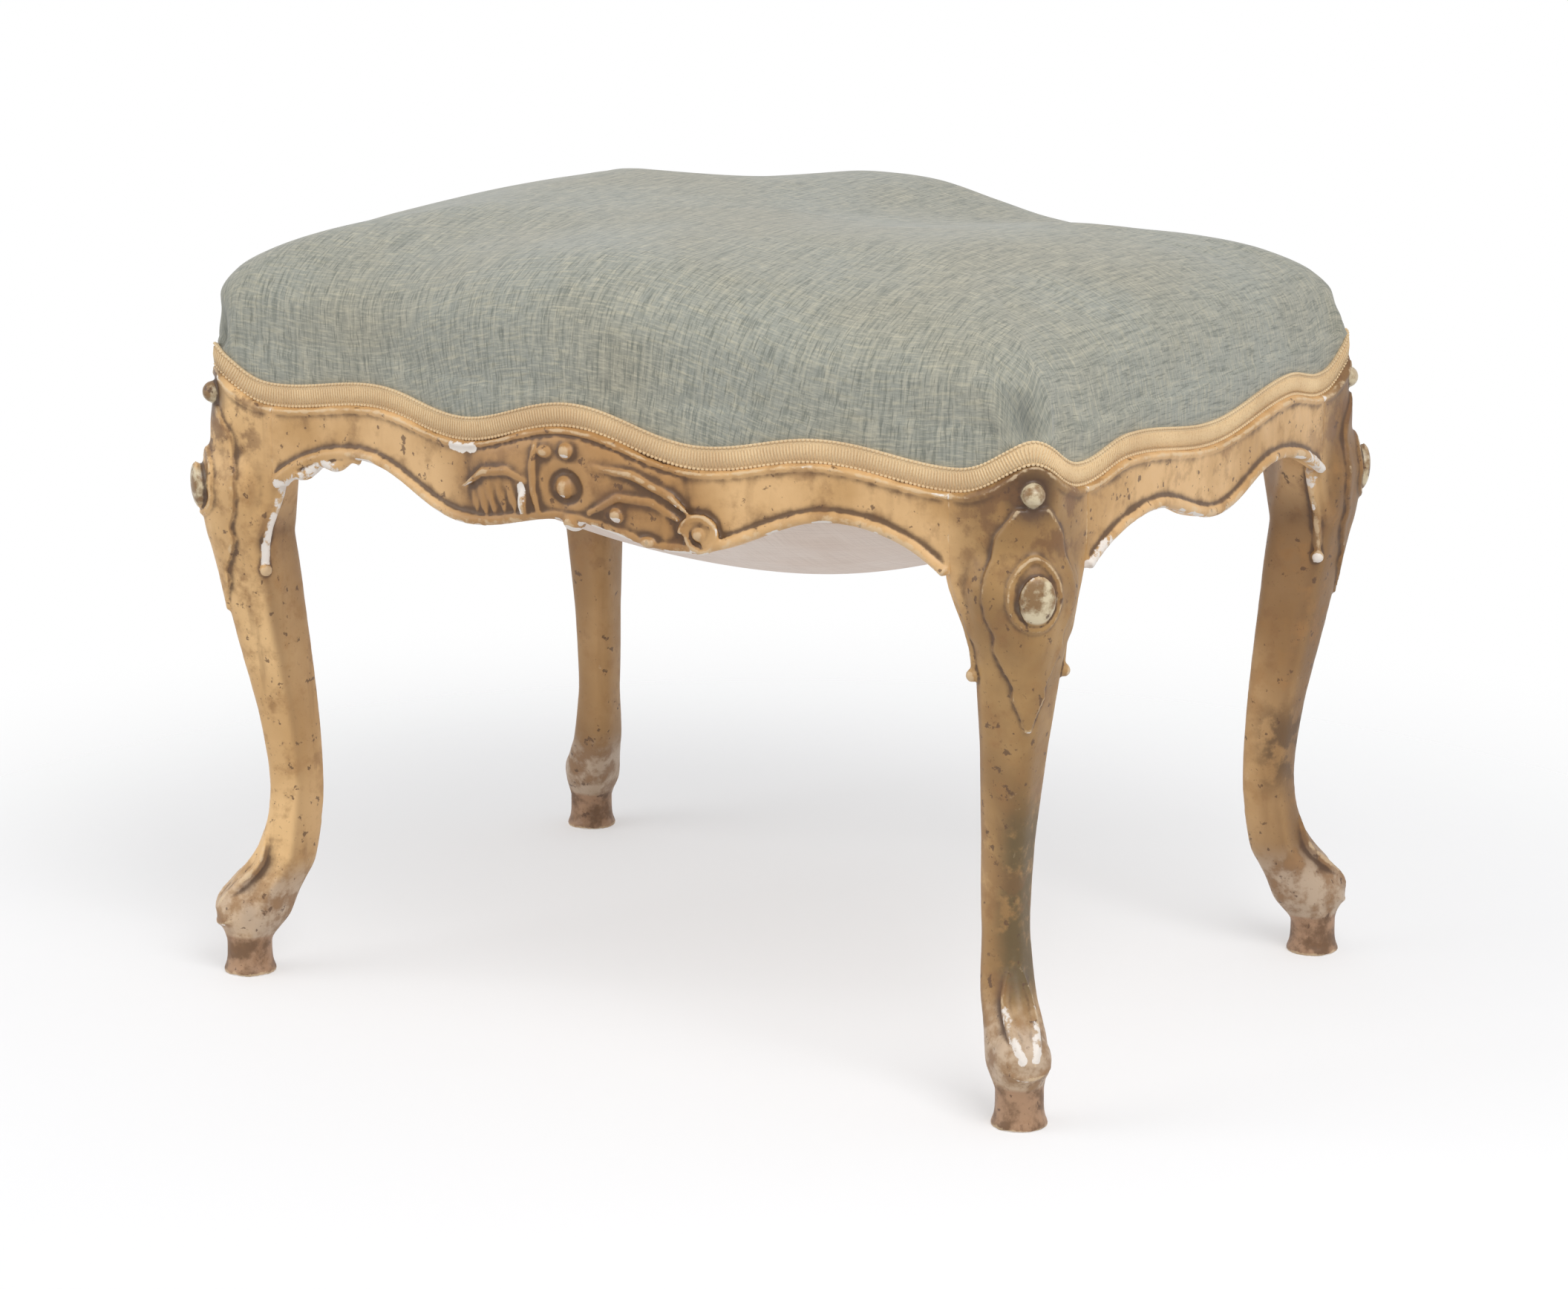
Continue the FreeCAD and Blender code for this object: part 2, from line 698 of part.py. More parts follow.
def strip(layer, low, high, tabs):
    """A band of webbing cut from its layer, with a doubled tab under the ledge at each end."""
    band = layer.common(box((*low, 0), (*high, RIM)))
    return band.fuse(tabs).removeSplitter()


HALF_BAND = number("webbing_width") / 2
cross_layer = dish(SPAN_X, SPAN_Y, RIM, number("webbing_sag"), WEB)
long_layer = dish(SPAN_X, SPAN_Y, RIM - WEB, number("webbing_sag"), WEB)
for name, x in (("left", -number("spring_step_x")), ("right", number("spring_step_x"))):
    low, high = x - HALF_BAND, x + HALF_BAND
    tabs = [box((low, SPAN_Y, RIM - 2 * WEB), (high, SPAN_Y + TAB, RIM)),
            box((low, -SPAN_Y - TAB, RIM - 2 * WEB), (high, -SPAN_Y, RIM))]
    solid_part(f"webbing_cross_{name}", strip(cross_layer, (low, -SPAN_Y), (high, SPAN_Y), tabs))
for name, y in (("front", -number("spring_row_y")), ("back", number("spring_row_y"))):
    low, high = y - HALF_BAND, y + HALF_BAND
    tabs = [box((SPAN_X, low, RIM - 2 * WEB), (SPAN_X + TAB, high, RIM)),
            box((-SPAN_X - TAB, low, RIM - 2 * WEB), (-SPAN_X, high, RIM))]
    solid_part(f"webbing_long_{name}", strip(long_layer, (-SPAN_X, low), (SPAN_X, high), tabs))

cloth_top = RIM - 2 * WEB
cloth_thickness = number("bottom_thickness")
cloth = dish(SPAN_X, SPAN_Y, cloth_top, number("webbing_sag"), cloth_thickness)
hem_low = cloth_top - cloth_thickness
hems = [box((-SPAN_X, side, hem_low), (SPAN_X, side + TAB, cloth_top)) for side in (-SPAN_Y - TAB, SPAN_Y)]
hems += [box((side, -SPAN_Y, hem_low), (side + TAB, SPAN_Y, cloth_top)) for side in (-SPAN_X - TAB, SPAN_X)]
block_plane = block_face.value + number("bottom_clearance")
chamfer = leg_x.value + leg_y.value - ROOT_TWO * block_plane
far = leg_x.value + leg_y.value
scraps = []
for sx, sy in CORNERS.values():
    corners = [(far, chamfer - far), (far, far), (chamfer - far, far), (far, chamfer - far)]
    outline = Part.makePolygon([Vector(sx * x, sy * y, 0) for x, y in corners])
    scraps.append(Part.Face(outline).extrude(Vector(0, 0, RIM)))
solid_part("bottom_cloth", cloth.fuse(hems).cut(scraps).removeSplitter())

# Spring canvas: laid over the springs and tacked to the rail tops
CORE_TOP = core_top.value
CANVAS = number("canvas_thickness")
canvas_underside = (SPAN_X, SPAN_Y, CORE_TOP, -number("canvas_rise"))
canvas_dome = dish(*canvas_underside, -CANVAS)
canvas_edges = [box((-SPAN_X - TAB, side, CORE_TOP), (SPAN_X + TAB, side + TAB, CORE_TOP + CANVAS))
                for side in (-SPAN_Y - TAB, SPAN_Y)]
canvas_edges += [box((side, -SPAN_Y, CORE_TOP), (side + TAB, SPAN_Y, CORE_TOP + CANVAS))
                 for side in (-SPAN_X - TAB, SPAN_X)]
canvas = canvas_dome.fuse(canvas_edges).removeSplitter()
solid_part("spring_canvas", canvas)


# Seat springs: waisted coils, each standing on a crossing of the webbing and pressed under the canvas
def tilted_ring(x, y, sheet_form, lift):
    """Centre and the two radii directions of an end coil that lies along a bowed sheet."""
    half_x, half_y, rim, sag = sheet_form
    slope_x = 2 * sag * x / half_x ** 2 * (1 - (y / half_y) ** 2)
    slope_y = 2 * sag * y / half_y ** 2 * (1 - (x / half_x) ** 2)
    centre = Vector(x, y, dish_height(x, y, *sheet_form) + lift)
    return centre, Vector(1, 0, slope_x).normalize(), Vector(0, 1, slope_y).normalize()


def biarc(p, along_p, q, along_q):
    """Two tangent arcs from p to q that leave along one direction and arrive along the other."""
    chord = q - p
    both = along_p + along_q
    spread = 2 * (1 - along_p.dot(along_q))
    run = chord.dot(both)
    reach = (-run + math.sqrt(run ** 2 + spread * chord.dot(chord))) / spread
    knee_p, knee_q = p + along_p * reach, q - along_q * reach
    joint = (knee_p + knee_q) / 2
    return [corner_arc(p, knee_p, joint), corner_arc(joint, knee_q, q)]


def corner_arc(start, knee, end):
    """The arc that touches both legs of a corner at equal distances from it."""
    middle = (start + end) / 2
    rise = (knee - middle).Length
    half = (end - start).Length / 2
    bulge = half * math.tan(math.atan2(rise, half) / 2)
    return Part.Arc(start, middle + (knee - middle).normalize() * bulge, end).toShape()


def coil_spring(x, y):
    wire, ends, waist = number("spring_wire"), number("spring_end_radius"), number("spring_waist_radius")
    turns = int(number("spring_turns"))
    below = (SPAN_X, SPAN_Y, RIM, number("webbing_sag"))
    low_lift = wire / 2 + ends ** 2 * below[3] / SPAN_Y ** 2
    high_lift = -wire / 2 + ends ** 2 * canvas_underside[3] / SPAN_Y ** 2
    low = tilted_ring(x, y, below, low_lift)
    high = tilted_ring(x, y, canvas_underside, high_lift)
    steps = 2 * turns
    close = 1.35 * wire / (high[0] - low[0]).Length

    def point(step):
        share = step / steps
        rise = max(0, min(1, (turns * share - 1) / (turns - 2)))
        height = close * min(turns * share, 1) + (1 - 2 * close) * rise
        height += close * max(turns * share - turns + 1, 0)
        radius = ends + (waist - ends) * math.sin(math.pi * height) ** 2
        centre, right, ahead = (a + (b - a) * height for a, b in zip(low, high))
        angle = math.pi * step
        return centre + right * radius * math.cos(angle) + ahead * radius * math.sin(angle)

    def heading(step):
        nudge = 0.05
        return (point(step + nudge) - point(step - nudge)).normalize()

    arcs = []
    for step in range(steps):
        arcs += biarc(point(step), heading(step), point(step + 1), heading(step + 1))
    path = Part.Wire(arcs)
    start, along = point(0), heading(0)
    across = along.cross(Vector(0, 0, 1)).normalize()
    above = across.cross(along)
    sides = 4
    rim = []
    for side in range(sides + 1):
        turn = 2 * math.pi * side / sides
        rim.append(start + across * (wire / 2 * math.cos(turn)) + above * (wire / 2 * math.sin(turn)))
    return path.makePipeShell([Part.makePolygon(rim)], True, False)


for row, y in (("front", -number("spring_row_y")), ("back", number("spring_row_y"))):
    for side, x in (("left", -number("spring_step_x")), ("right", number("spring_step_x"))):
        solid_part(f"seat_spring_{row}_{side}", coil_spring(x, y))


# The seat's outline, offset outwards from the show face: one quarter, then mirrored round
def arc_middle(start, end, radius):
    """The middle of the arc under a half circle from start to end, positive radius turning left."""
    centre = arc_centre(start, end, radius)
    ray = ((start + end) / 2 - centre).normalize()
    return centre + ray * abs(radius)


def quarter_line(offset):
    """Edges as start, middle and end, from the front centre round the right front corner."""
    near_x, near_y = (axis.value - shoulder.value for axis in (leg_x, leg_y))
    far_x, far_y = (axis.value + face.value + offset for axis in (leg_x, leg_y))
    bend = corner.value + offset
    rise = number("side_bow")
    chain = [("start", (0, -far_y - number("front_bow"))), ("ogee", (near_x, -far_y))]
    chain += [("line", (far_x - bend, -far_y)), (bend, (far_x, bend - far_y)), ("line", (far_x, -near_y))]
    chain += [((near_y ** 2 + rise ** 2) / (2 * rise), (far_x + rise, 0))]
    edges = []
    here = chain[0][1]
    for kind, there in chain[1:]:
        p, q = Vector(*here, 0), Vector(*there, 0)
        if kind == "line":
            edges.append((p, (p + q) / 2, q))
        elif kind == "ogee":
            for x, y, radius in ogee(here, there):
                q = Vector(x.value, y.value, 0)
                edges.append((p, arc_middle(p, q, radius.value), q))
                p = q
        else:
            edges.append((p, arc_middle(p, q, kind), q))
        here = there
    return edges


def seat_line(offset):
    """The whole closed outline, as edges of start, middle and end points."""
    quarter = quarter_line(offset)
    half = quarter + [tuple(Vector(p.x, -p.y, 0) for p in edge[::-1]) for edge in quarter[::-1]]
    return half + [tuple(Vector(-p.x, p.y, 0) for p in edge[::-1]) for edge in half[::-1]]


def edge_through(start, middle, end):
    straight = (middle - (start + end) / 2).Length < 1e-6
    return Part.LineSegment(start, end).toShape() if straight else Part.Arc(start, middle, end).toShape()


def wire_through(edges):
    return Part.Wire([edge_through(*edge) for edge in edges])


def seat_prism(offset, low, high):
    plan = Part.Face(wire_through(seat_line(offset)))
    plan.translate(Vector(0, 0, low))
    return plan.extrude(Vector(0, 0, high - low))


# Everything below the show edge, shifted up, to trim the cover's skirt and the braid to the wave
def below_edge(shift):
    """Prisms under the waves of the four sides, each reaching in as far as the rebate."""
    floor = blank_bottom.value
    prisms = []
    sides = ((FRONT_EDGE, leg_x, leg_y, 0), (SIDE_EDGE, leg_y, leg_x, 90))
    for points, long_axis, deep_axis, angle in sides:
        half = long_axis - shoulder
        flat = long_axis - size("ear_flat_at")
        end = long_axis.value + number("face_reach") + OVERRUN
        crest = points + [(half, below("edge_shoulder")), (flat, below("edge_ear"))]
        chain = mirrored(crest)
        runs = [(x.value, z.value + shift, radius.value) for x, z, radius in wave(chain)]
        ear = below("edge_ear").value + shift
        here = Vector(-end, ear, 0)
        first = Vector(chain[0][0].value, ear, 0)
        edges = [(here, (here + first) / 2, first)]
        here = first
        for x, z, radius in runs:
            there = Vector(x, z, 0)
            edges.append((here, arc_middle(here, there, radius), there))
            here = there
        for x, z in ((end, ear), (end, floor), (-end, floor), (-end, ear)):
            there = Vector(x, z, 0)
            edges.append((here, (here + there) / 2, there))
            here = there
        profile = Part.Face(wire_through(edges))
        profile.rotate(Vector(), Vector(1, 0, 0), 90)
        start = deep_axis.value + number("face_reach") - number("rebate_depth") - 1
        reach = number("front_bow") + number("side_bow") + 8 * OVERRUN
        profile.translate(Vector(0, -start, 0))
        slab = profile.extrude(Vector(0, -reach, 0))
        for turn in (angle, angle + 180):
            prisms.append(slab.rotated(Vector(), Vector(0, 0, 1), turn))
    ear = below("edge_ear").value + shift
    for sx, sy in CORNERS.values():
        spans = (-number("ear_flat_at"), number("face_reach") + OVERRUN)
        ends_x = [sx * (leg_x.value + span) for span in spans]
        ends_y = [sy * (leg_y.value + span) for span in spans]
        low, high = (min(ends_x), min(ends_y)), (max(ends_x), max(ends_y))
        prisms.append(box((*low, floor), (*high, ear)))
    return prisms


# The seat: stuffing and cover are nested domes with bulged sides and a crown
REBATE_LINE = -number("rebate_depth")
COVER = number("cover_thickness")
WALL_TOP = CORE_TOP + number("wall_rise")
CROWN = number("crown_rise")
BULGE = number("seat_bulge")
# Inset from the wall, share of the crown's height and share of the crest, from the wall to the top
PROFILE = [(0, 0, 0), (-0.9 * BULGE, 0.18, 0.25), (-0.6 * BULGE, 0.38, 0.65), (8, 0.6, 1),
           (34, 0.78, 0.95), (80, 0.91, 0.5), (135, 1, 0)]


def dome(depth):
    """The seat above the wall, sunk by a depth below the outside of the cover."""
    line = seat_line(REBATE_LINE + COVER)
    half_x, half_y = (axis.value + face.value + REBATE_LINE + COVER for axis in (leg_x, leg_y))
    sections = []
    for count, (inset, height, crest) in enumerate(PROFILE):
        edges = line if count else seat_line(REBATE_LINE + COVER - depth)
        tilt = math.pi / 2 * max(0, count - 1) / (len(PROFILE) - 2)
        inward = inset + depth * math.cos(tilt)
        level = WALL_TOP + CROWN * height - depth * math.sin(tilt)
        stretch_x, stretch_y = (1 - inward / half_x, 1 - inward / half_y) if count else (1, 1)

        def placed(p):
            swell = (1 + math.cos(math.pi * min(1, abs(p.x) / number("crest_span")))) / 2
            corner = (p.x / half_x * p.y / half_y) ** 2
            lift = crest * (number("crest_rise") * swell - number("corner_fall") * corner)
            return Vector(p.x * stretch_x, p.y * stretch_y, level + lift)

        sections.append(wire_through([tuple(placed(p) for p in edge) for edge in edges]))
    return sections


def dome_faces(sections):
    return Part.makeLoft(sections, False, True).Faces + [Part.Face(sections[-1])]


def sewn(wall, outside, inside):
    """A cloth that lies between two domes, sewn to its wall, whose top face it takes the place of."""
    sides = [side for side in wall.Faces if min(point.Z for point in side.Vertexes) < WALL_TOP - 1e-6]
    skin = Part.Compound(sides + dome_faces(outside) + dome_faces(inside))
    skin.sewShape()
    return Part.Solid(skin.Shells[0])


outside, inside = dome(0), dome(COVER)
skirt_span = blank_bottom.value, WALL_TOP
wood = below_edge(0)
skirt = seat_prism(REBATE_LINE + COVER, *skirt_span).cut(seat_prism(REBATE_LINE, *skirt_span))
solid_part("seat_cover", sewn(skirt.cut(wood), outside, inside))
rise = number("canvas_rise")
hollow = dish(SPAN_X, SPAN_Y, CORE_TOP + CANVAS, -rise, rise + 2 * CANVAS).fuse(canvas_edges)
hair = seat_prism(REBATE_LINE, CORE_TOP, WALL_TOP).fuse(Part.makeLoft(inside, True, True))
solid_part("seat_stuffing", hair.cut(hollow))

# Braid: a flat band all round that stands on the show edge and covers the cover's tacks
band_span = blank_bottom.value, below("edge_ear").value + number("braid_width") + OVERRUN
band = seat_prism(REBATE_LINE + COVER + number("braid_thickness"), *band_span)
band = band.cut(seat_prism(REBATE_LINE + COVER, *band_span))
below_band = below_edge(number("braid_width"))
solid_part("gimp_braid", band.cut(wood).common(below_band[0].fuse(below_band[1:])))

doc.recompute()
for item in doc.Objects:
    if "Invalid" in item.State or "Error" in item.State:
        raise RuntimeError(f"{item.Label} was not rebuilt")
for part in parts:
    if part.Shape.isNull() or not part.Shape.isValid() or not part.Shape.Solids:
        raise RuntimeError(f"{part.Label} has no sound solid")
os.makedirs("parts", exist_ok=True)
for part in parts:
    part.Shape.exportStep(f"parts/{part.Label}.step")
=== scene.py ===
import math

import bmesh
import bpy
import numpy as np
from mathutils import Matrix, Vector
from mathutils.bvhtree import BVHTree


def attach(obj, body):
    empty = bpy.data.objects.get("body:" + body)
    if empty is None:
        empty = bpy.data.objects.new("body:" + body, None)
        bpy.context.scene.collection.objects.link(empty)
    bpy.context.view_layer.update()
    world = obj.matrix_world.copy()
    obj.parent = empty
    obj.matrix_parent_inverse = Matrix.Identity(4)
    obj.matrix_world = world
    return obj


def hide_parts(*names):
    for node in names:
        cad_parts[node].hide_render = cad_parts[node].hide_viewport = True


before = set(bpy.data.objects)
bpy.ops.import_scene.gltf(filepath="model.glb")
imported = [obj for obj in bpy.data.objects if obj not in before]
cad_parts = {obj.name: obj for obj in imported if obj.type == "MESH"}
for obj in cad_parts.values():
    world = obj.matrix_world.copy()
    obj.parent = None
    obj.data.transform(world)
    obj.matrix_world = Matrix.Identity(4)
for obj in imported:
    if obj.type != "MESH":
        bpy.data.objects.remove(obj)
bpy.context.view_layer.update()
scene = bpy.context.scene
scene.view_settings.view_transform = "Standard"

# Camera: a long lens from the front right, a little above the seat,
# aimed at the middle of the stool
lens_data = bpy.data.cameras.new("camera")
lens_data.sensor_width = 36
lens_data.lens = 112.36
lens_data.clip_end = 20
camera = bpy.data.objects.new("camera", lens_data)
scene.collection.objects.link(camera)
azimuth = math.radians(31.46)
elevation = math.radians(14.06)
lens_to_stool = 3.0831
aim = Vector((-0.0006, 0, 0.2074))
level_reach = math.cos(elevation)
back = Vector((math.sin(azimuth) * level_reach, -math.cos(azimuth) * level_reach, math.sin(elevation)))
camera.location = aim + back * lens_to_stool
camera.rotation_euler = back.to_track_quat("Z", "Y").to_euler()
scene.camera = camera

# Studio: a world that the camera and reflections see as pure white, two broad lamps,
# and a pale floor that keeps the soft shadow under the feet
world = bpy.data.worlds.new("studio")
scene.world = world
world.use_nodes = True
sky = world.node_tree
sky.nodes.clear()
rays = sky.nodes.new("ShaderNodeLightPath")
seen = sky.nodes.new("ShaderNodeBackground")
seen.inputs["Color"].default_value = (1, 1, 1, 1)
glow = sky.nodes.new("ShaderNodeBackground")
glow.inputs["Color"].default_value = (0.97, 0.98, 1, 1)
glow.inputs["Strength"].default_value = 0.62
choice = sky.nodes.new("ShaderNodeMixShader")
surface = sky.nodes.new("ShaderNodeOutputWorld")
shown = rays.outputs["Is Camera Ray"]
for ray in ("Is Glossy Ray", "Is Transmission Ray"):
    either = sky.nodes.new("ShaderNodeMath")
    either.operation = "MAXIMUM"
    sky.links.new(shown, either.inputs[0])
    sky.links.new(rays.outputs[ray], either.inputs[1])
    shown = either.outputs[0]
sky.links.new(shown, choice.inputs[0])
sky.links.new(glow.outputs[0], choice.inputs[1])
sky.links.new(seen.outputs[0], choice.inputs[2])
sky.links.new(choice.outputs[0], surface.inputs[0])
lamps = (("key", (1.7, -1.1, 2.2), 37, 1.6),
         ("fill", (-1.9, -1.7, 1.4), 17, 1.8))
lit_spot = Vector((0, 0, 0.3))
for lamp_name, place, power, width in lamps:
    lamp = bpy.data.lights.new(lamp_name, "AREA")
    lamp.energy = power
    lamp.size = width
    holder = bpy.data.objects.new(lamp_name, lamp)
    holder.location = place
    holder.rotation_euler = (Vector(place) - lit_spot).to_track_quat("Z", "Y").to_euler()
    scene.collection.objects.link(holder)


def new_piece(name, points, faces, smooth=True):
    """A mesh object at the origin from points in metres."""
    mesh = bpy.data.meshes.new(name)
    mesh.from_pydata([tuple(point) for point in points], [], [tuple(face) for face in faces])
    mesh.update()
    if smooth:
        mesh.shade_smooth()
    piece = bpy.data.objects.new(name, mesh)
    scene.collection.objects.link(piece)
    return piece


class Shade:
    """A socket of a material's tree, with arithmetic between sockets and numbers."""

    def __init__(self, tree, socket):
        self.tree = tree
        self.socket = socket

    def node(self, kind, inputs, output=0, **settings):
        made = self.tree.nodes.new(f"ShaderNode{kind}")
        for setting, value in settings.items():
            setattr(made, setting, value)
        for name, value in inputs.items():
            if isinstance(value, Shade):
                self.tree.links.new(value.socket, made.inputs[name])
            else:
                made.inputs[name].default_value = value
        return Shade(self.tree, made.outputs[output])

    def calc(self, operation, *others):
        values = dict(enumerate((self, *others)))
        return self.node("Math", values, operation=operation)

    def __add__(self, other):
        return self.calc("ADD", other)

    def __sub__(self, other):
        return self.calc("SUBTRACT", other)

    def __mul__(self, other):
        return self.calc("MULTIPLY", other)

    def __rsub__(self, other):
        return self * -1 + other

    __radd__ = __add__
    __rmul__ = __mul__

    def step(self, low, high):
        """From 0 at low to 1 at high, smooth and clamped."""
        span = {"Value": self, "From Min": low, "From Max": high}
        return self.node("MapRange", span, interpolation_type="SMOOTHSTEP")

    def mix(self, first, second):
        """This socket as the share of the second colour."""
        return self.node("Mix", {0: self, 6: first, 7: second}, 2, data_type="RGBA")

    def stretched(self, x, y, z):
        return self.node("VectorMath", {0: self, 1: (x, y, z)}, operation="MULTIPLY")

    def noise(self, scale, detail=3.0, rough=0.5):
        return self.node("TexNoise", {"Vector": self, "Scale": scale, "Detail": detail, "Roughness": rough})

    def parts(self):
        """The x, y and z of a vector."""
        return [self.node("SeparateXYZ", {0: self}, axis) for axis in range(3)]

    def gap_to(self, place):
        return self.node("VectorMath", {0: self, 1: place}, 1, operation="DISTANCE")

    def attribute(self, name):
        return self.node("Attribute", {}, 2, attribute_name=name)


def paint(*screen):
    """A colour read off a screen, from 0 to 255, as linear light."""
    shares = [part / 255 for part in screen]
    linear = [share / 12.92 if share < 0.0405 else ((share + 0.055) / 1.055) ** 2.4 for share in shares]
    return (*linear, 1)


def new_material(name):
    """An empty material, its shader node and its object coordinates."""
    material = bpy.data.materials.new(name)
    material.use_nodes = True
    tree = material.node_tree
    shader = tree.nodes["Principled BSDF"]
    coordinates = tree.nodes.new("ShaderNodeTexCoord")
    return material, shader, Shade(tree, coordinates.outputs["Object"])


def finish_with(shader, colour=None, rough=None, bump=None, strength=0.3, distance=0.001, **plain):
    """Feed the shader's varying sockets, and set the plain ones on the shader itself."""
    tree = (colour or rough or bump).tree
    if colour:
        tree.links.new(colour.socket, shader.inputs["Base Color"])
    if rough:
        tree.links.new(rough.socket, shader.inputs["Roughness"])
    if bump:
        values = {"Height": bump, "Strength": strength, "Distance": distance}
        tree.links.new(bump.node("Bump", values).socket, shader.inputs["Normal"])
    for socket, value in plain.items():
        shader.inputs[socket.replace("_", " ")].default_value = value


half_floor = 6
floor_corners = [(x * half_floor, y * half_floor, 0) for x, y in ((-1, -1), (1, -1), (1, 1), (-1, 1))]
floor = new_piece("floor", floor_corners, [(0, 1, 2, 3)])
floor_paint, floor_shader, spot = new_material("floor_paint")
finish_with(floor_shader, colour=spot.noise(3).mix(paint(252, 252, 253), paint(254, 254, 255)), Roughness=0.9)
from_middle = spot.node("VectorMath", {0: spot}, 1, operation="LENGTH")
clear = spot.node("BsdfTransparent", {})
ground = Shade(floor_paint.node_tree, floor_shader.outputs[0])
unlit = from_middle.step(0.40, 0.95) * 0.65 + 0.35
faded = spot.node("MixShader", {0: unlit, 1: ground, 2: clear})
floor_surface = floor_paint.node_tree.nodes["Material Output"].inputs[0]
floor_paint.node_tree.links.new(faded.socket, floor_surface)
floor.data.materials.append(floor_paint)


# Legs: carved beech, each cut from one piece with its knee, ear, toe and foot peg, morticed for the rails.
# The carving is laid on the solid and made one skin with it, and its relief is kept for the worn paint and
# for the dirt and painted shade in its hollows
def points_of(mesh):
    flat = np.empty(len(mesh.vertices) * 3)
    mesh.vertices.foreach_get("co", flat)
    return flat.reshape(-1, 3)


def relaxed(mesh, rounds, share):
    """The mesh's points drawn towards their neighbours, share being one number or one for each point."""
    points = points_of(mesh)
    edges = np.empty(len(mesh.edges) * 2, dtype=np.int64)
    mesh.edges.foreach_get("vertices", edges)
    first, second = edges.reshape(-1, 2).T
    count = len(points)
    degree = np.bincount(edges, minlength=count)[:, None]
    share = np.broadcast_to(np.asarray(share, dtype=float), (count,))[:, None]
    for _ in range(rounds):
        total = np.empty_like(points)
        for axis in range(3):
            total[:, axis] = np.bincount(first, points[second, axis], count)
            total[:, axis] += np.bincount(second, points[first, axis], count)
        points = points + (total / degree - points) * share
    return points


def remeshed(name, lumps, voxel):
    """One skin round overlapping closed lumps, each a pair of points and faces."""
    points, faces = [], []
    for lump_points, lump_faces in lumps:
        start = len(points)
        points.extend(lump_points)
        faces.extend([[start + corner for corner in face] for face in lump_faces])
    rough = new_piece(name, points, faces)
    modifier = rough.modifiers.new("skin", "REMESH")
    modifier.mode = "VOXEL"
    modifier.voxel_size = voxel
    graph = bpy.context.evaluated_depsgraph_get()
    mesh = bpy.data.meshes.new_from_object(rough.evaluated_get(graph))
    bpy.data.objects.remove(rough)
    return mesh


def lump_of(mesh):
    return [tuple(vertex.co) for vertex in mesh.vertices], [list(face.vertices) for face in mesh.polygons]


def surface_of(mesh):
    points, faces = lump_of(mesh)
    return BVHTree.FromPolygons(points, faces)


def grid_faces(rows, columns):
    """Quads between rows of points."""
    corners = [row * columns + column for row in range(rows - 1) for column in range(columns - 1)]
    return [[corner, corner + 1, corner + columns + 1, corner + columns] for corner in corners]


def ring_faces(rows, columns):
    """Quads between closed rings of points."""
    return [[row * columns + column, row * columns + (column + 1) % columns,
             (row + 1) * columns + (column + 1) % columns, (row + 1) * columns + column]
            for row in range(rows - 1) for column in range(columns)]


def tube(path, radii, sides=10):
    """A round bar along the path, tapering with the radii, closed at both ends."""
    path = [Vector(point) for point in path]
    radii = np.interp(np.linspace(0, 1, len(path)), np.linspace(0, 1, len(radii)), radii)
    points = []
    for index, (point, radius) in enumerate(zip(path, radii)):
        along = (path[min(index + 1, len(path) - 1)] - path[max(index - 1, 0)]).normalized()
        across = along.cross(Vector((0.31, 0.42, 0.85))).normalized()
        up = across.cross(along)
        for side in range(sides):
            turn = 2 * math.pi * side / sides
            points.append(point + (across * math.cos(turn) + up * math.sin(turn)) * radius)
    ends = [list(range(sides))[::-1], list(range(len(points) - sides, len(points)))]
    return points, ring_faces(len(path), sides) + ends


def knob(centre, normal, up, radii, rings=8, sides=16):
    """An egg: half-sizes across, up and along the normal."""
    normal = Vector(normal).normalized()
    across = Vector(up).cross(normal).normalized()
    up = normal.cross(across)
    points = [Vector(centre) - normal * radii[2]]
    for ring in range(1, rings):
        tilt = math.pi * ring / rings
        for side in range(sides):
            turn = 2 * math.pi * side / sides
            spread = math.sin(tilt)
            offset = across * (radii[0] * spread * math.cos(turn)) + up * (radii[1] * spread * math.sin(turn))
            points.append(Vector(centre) + offset - normal * (radii[2] * math.cos(tilt)))
    points.append(Vector(centre) + normal * radii[2])
    faces = [[1 + corner for corner in face] for face in ring_faces(rings - 1, sides)]
    last = 1 + (rings - 2) * sides
    for side in range(sides):
        after = (side + 1) % sides
        faces.append([0, 1 + after, 1 + side])
        faces.append([len(points) - 1, last + side, last + after])
    return points, faces


def raised(rows, lift, sink):
    """A raised patch: rows of (point, normal) on a surface, each lifted by its height, with a rim."""
    tall, wide = len(rows), len(rows[0])
    points = [point + normal * lift(r / (tall - 1), c / (wide - 1))
              for r, row in enumerate(rows) for c, (point, normal) in enumerate(row)]
    points += [point - normal * sink for row in rows for point, normal in row]
    under = tall * wide
    faces = grid_faces(tall, wide)
    faces += [[under + corner for corner in face[::-1]] for face in faces]
    border = list(range(wide)) + [r * wide + wide - 1 for r in range(1, tall)]
    border += [(tall - 1) * wide + c for c in range(wide - 2, -1, -1)]
    border += [r * wide for r in range(tall - 2, 0, -1)]
    for index, corner in enumerate(border):
        after = border[(index + 1) % len(border)]
        faces.append([after, corner, under + corner, under + after])
    return points, faces


def wave_height(place, knots):
    """A level crest or dip at each knot, with a smooth run between."""
    places, heights = zip(*knots)
    index = int(np.clip(np.searchsorted(places, place) - 1, 0, len(places) - 2))
    share = np.clip((place - places[index]) / (places[index + 1] - places[index]), 0, 1)
    return heights[index] + (heights[index + 1] - heights[index]) * (1 - math.cos(math.pi * share)) / 2


def ramp(values, start, run):
    """From 0 at start to 1 after the run."""
    return np.clip((values - start) / run, 0, 1)


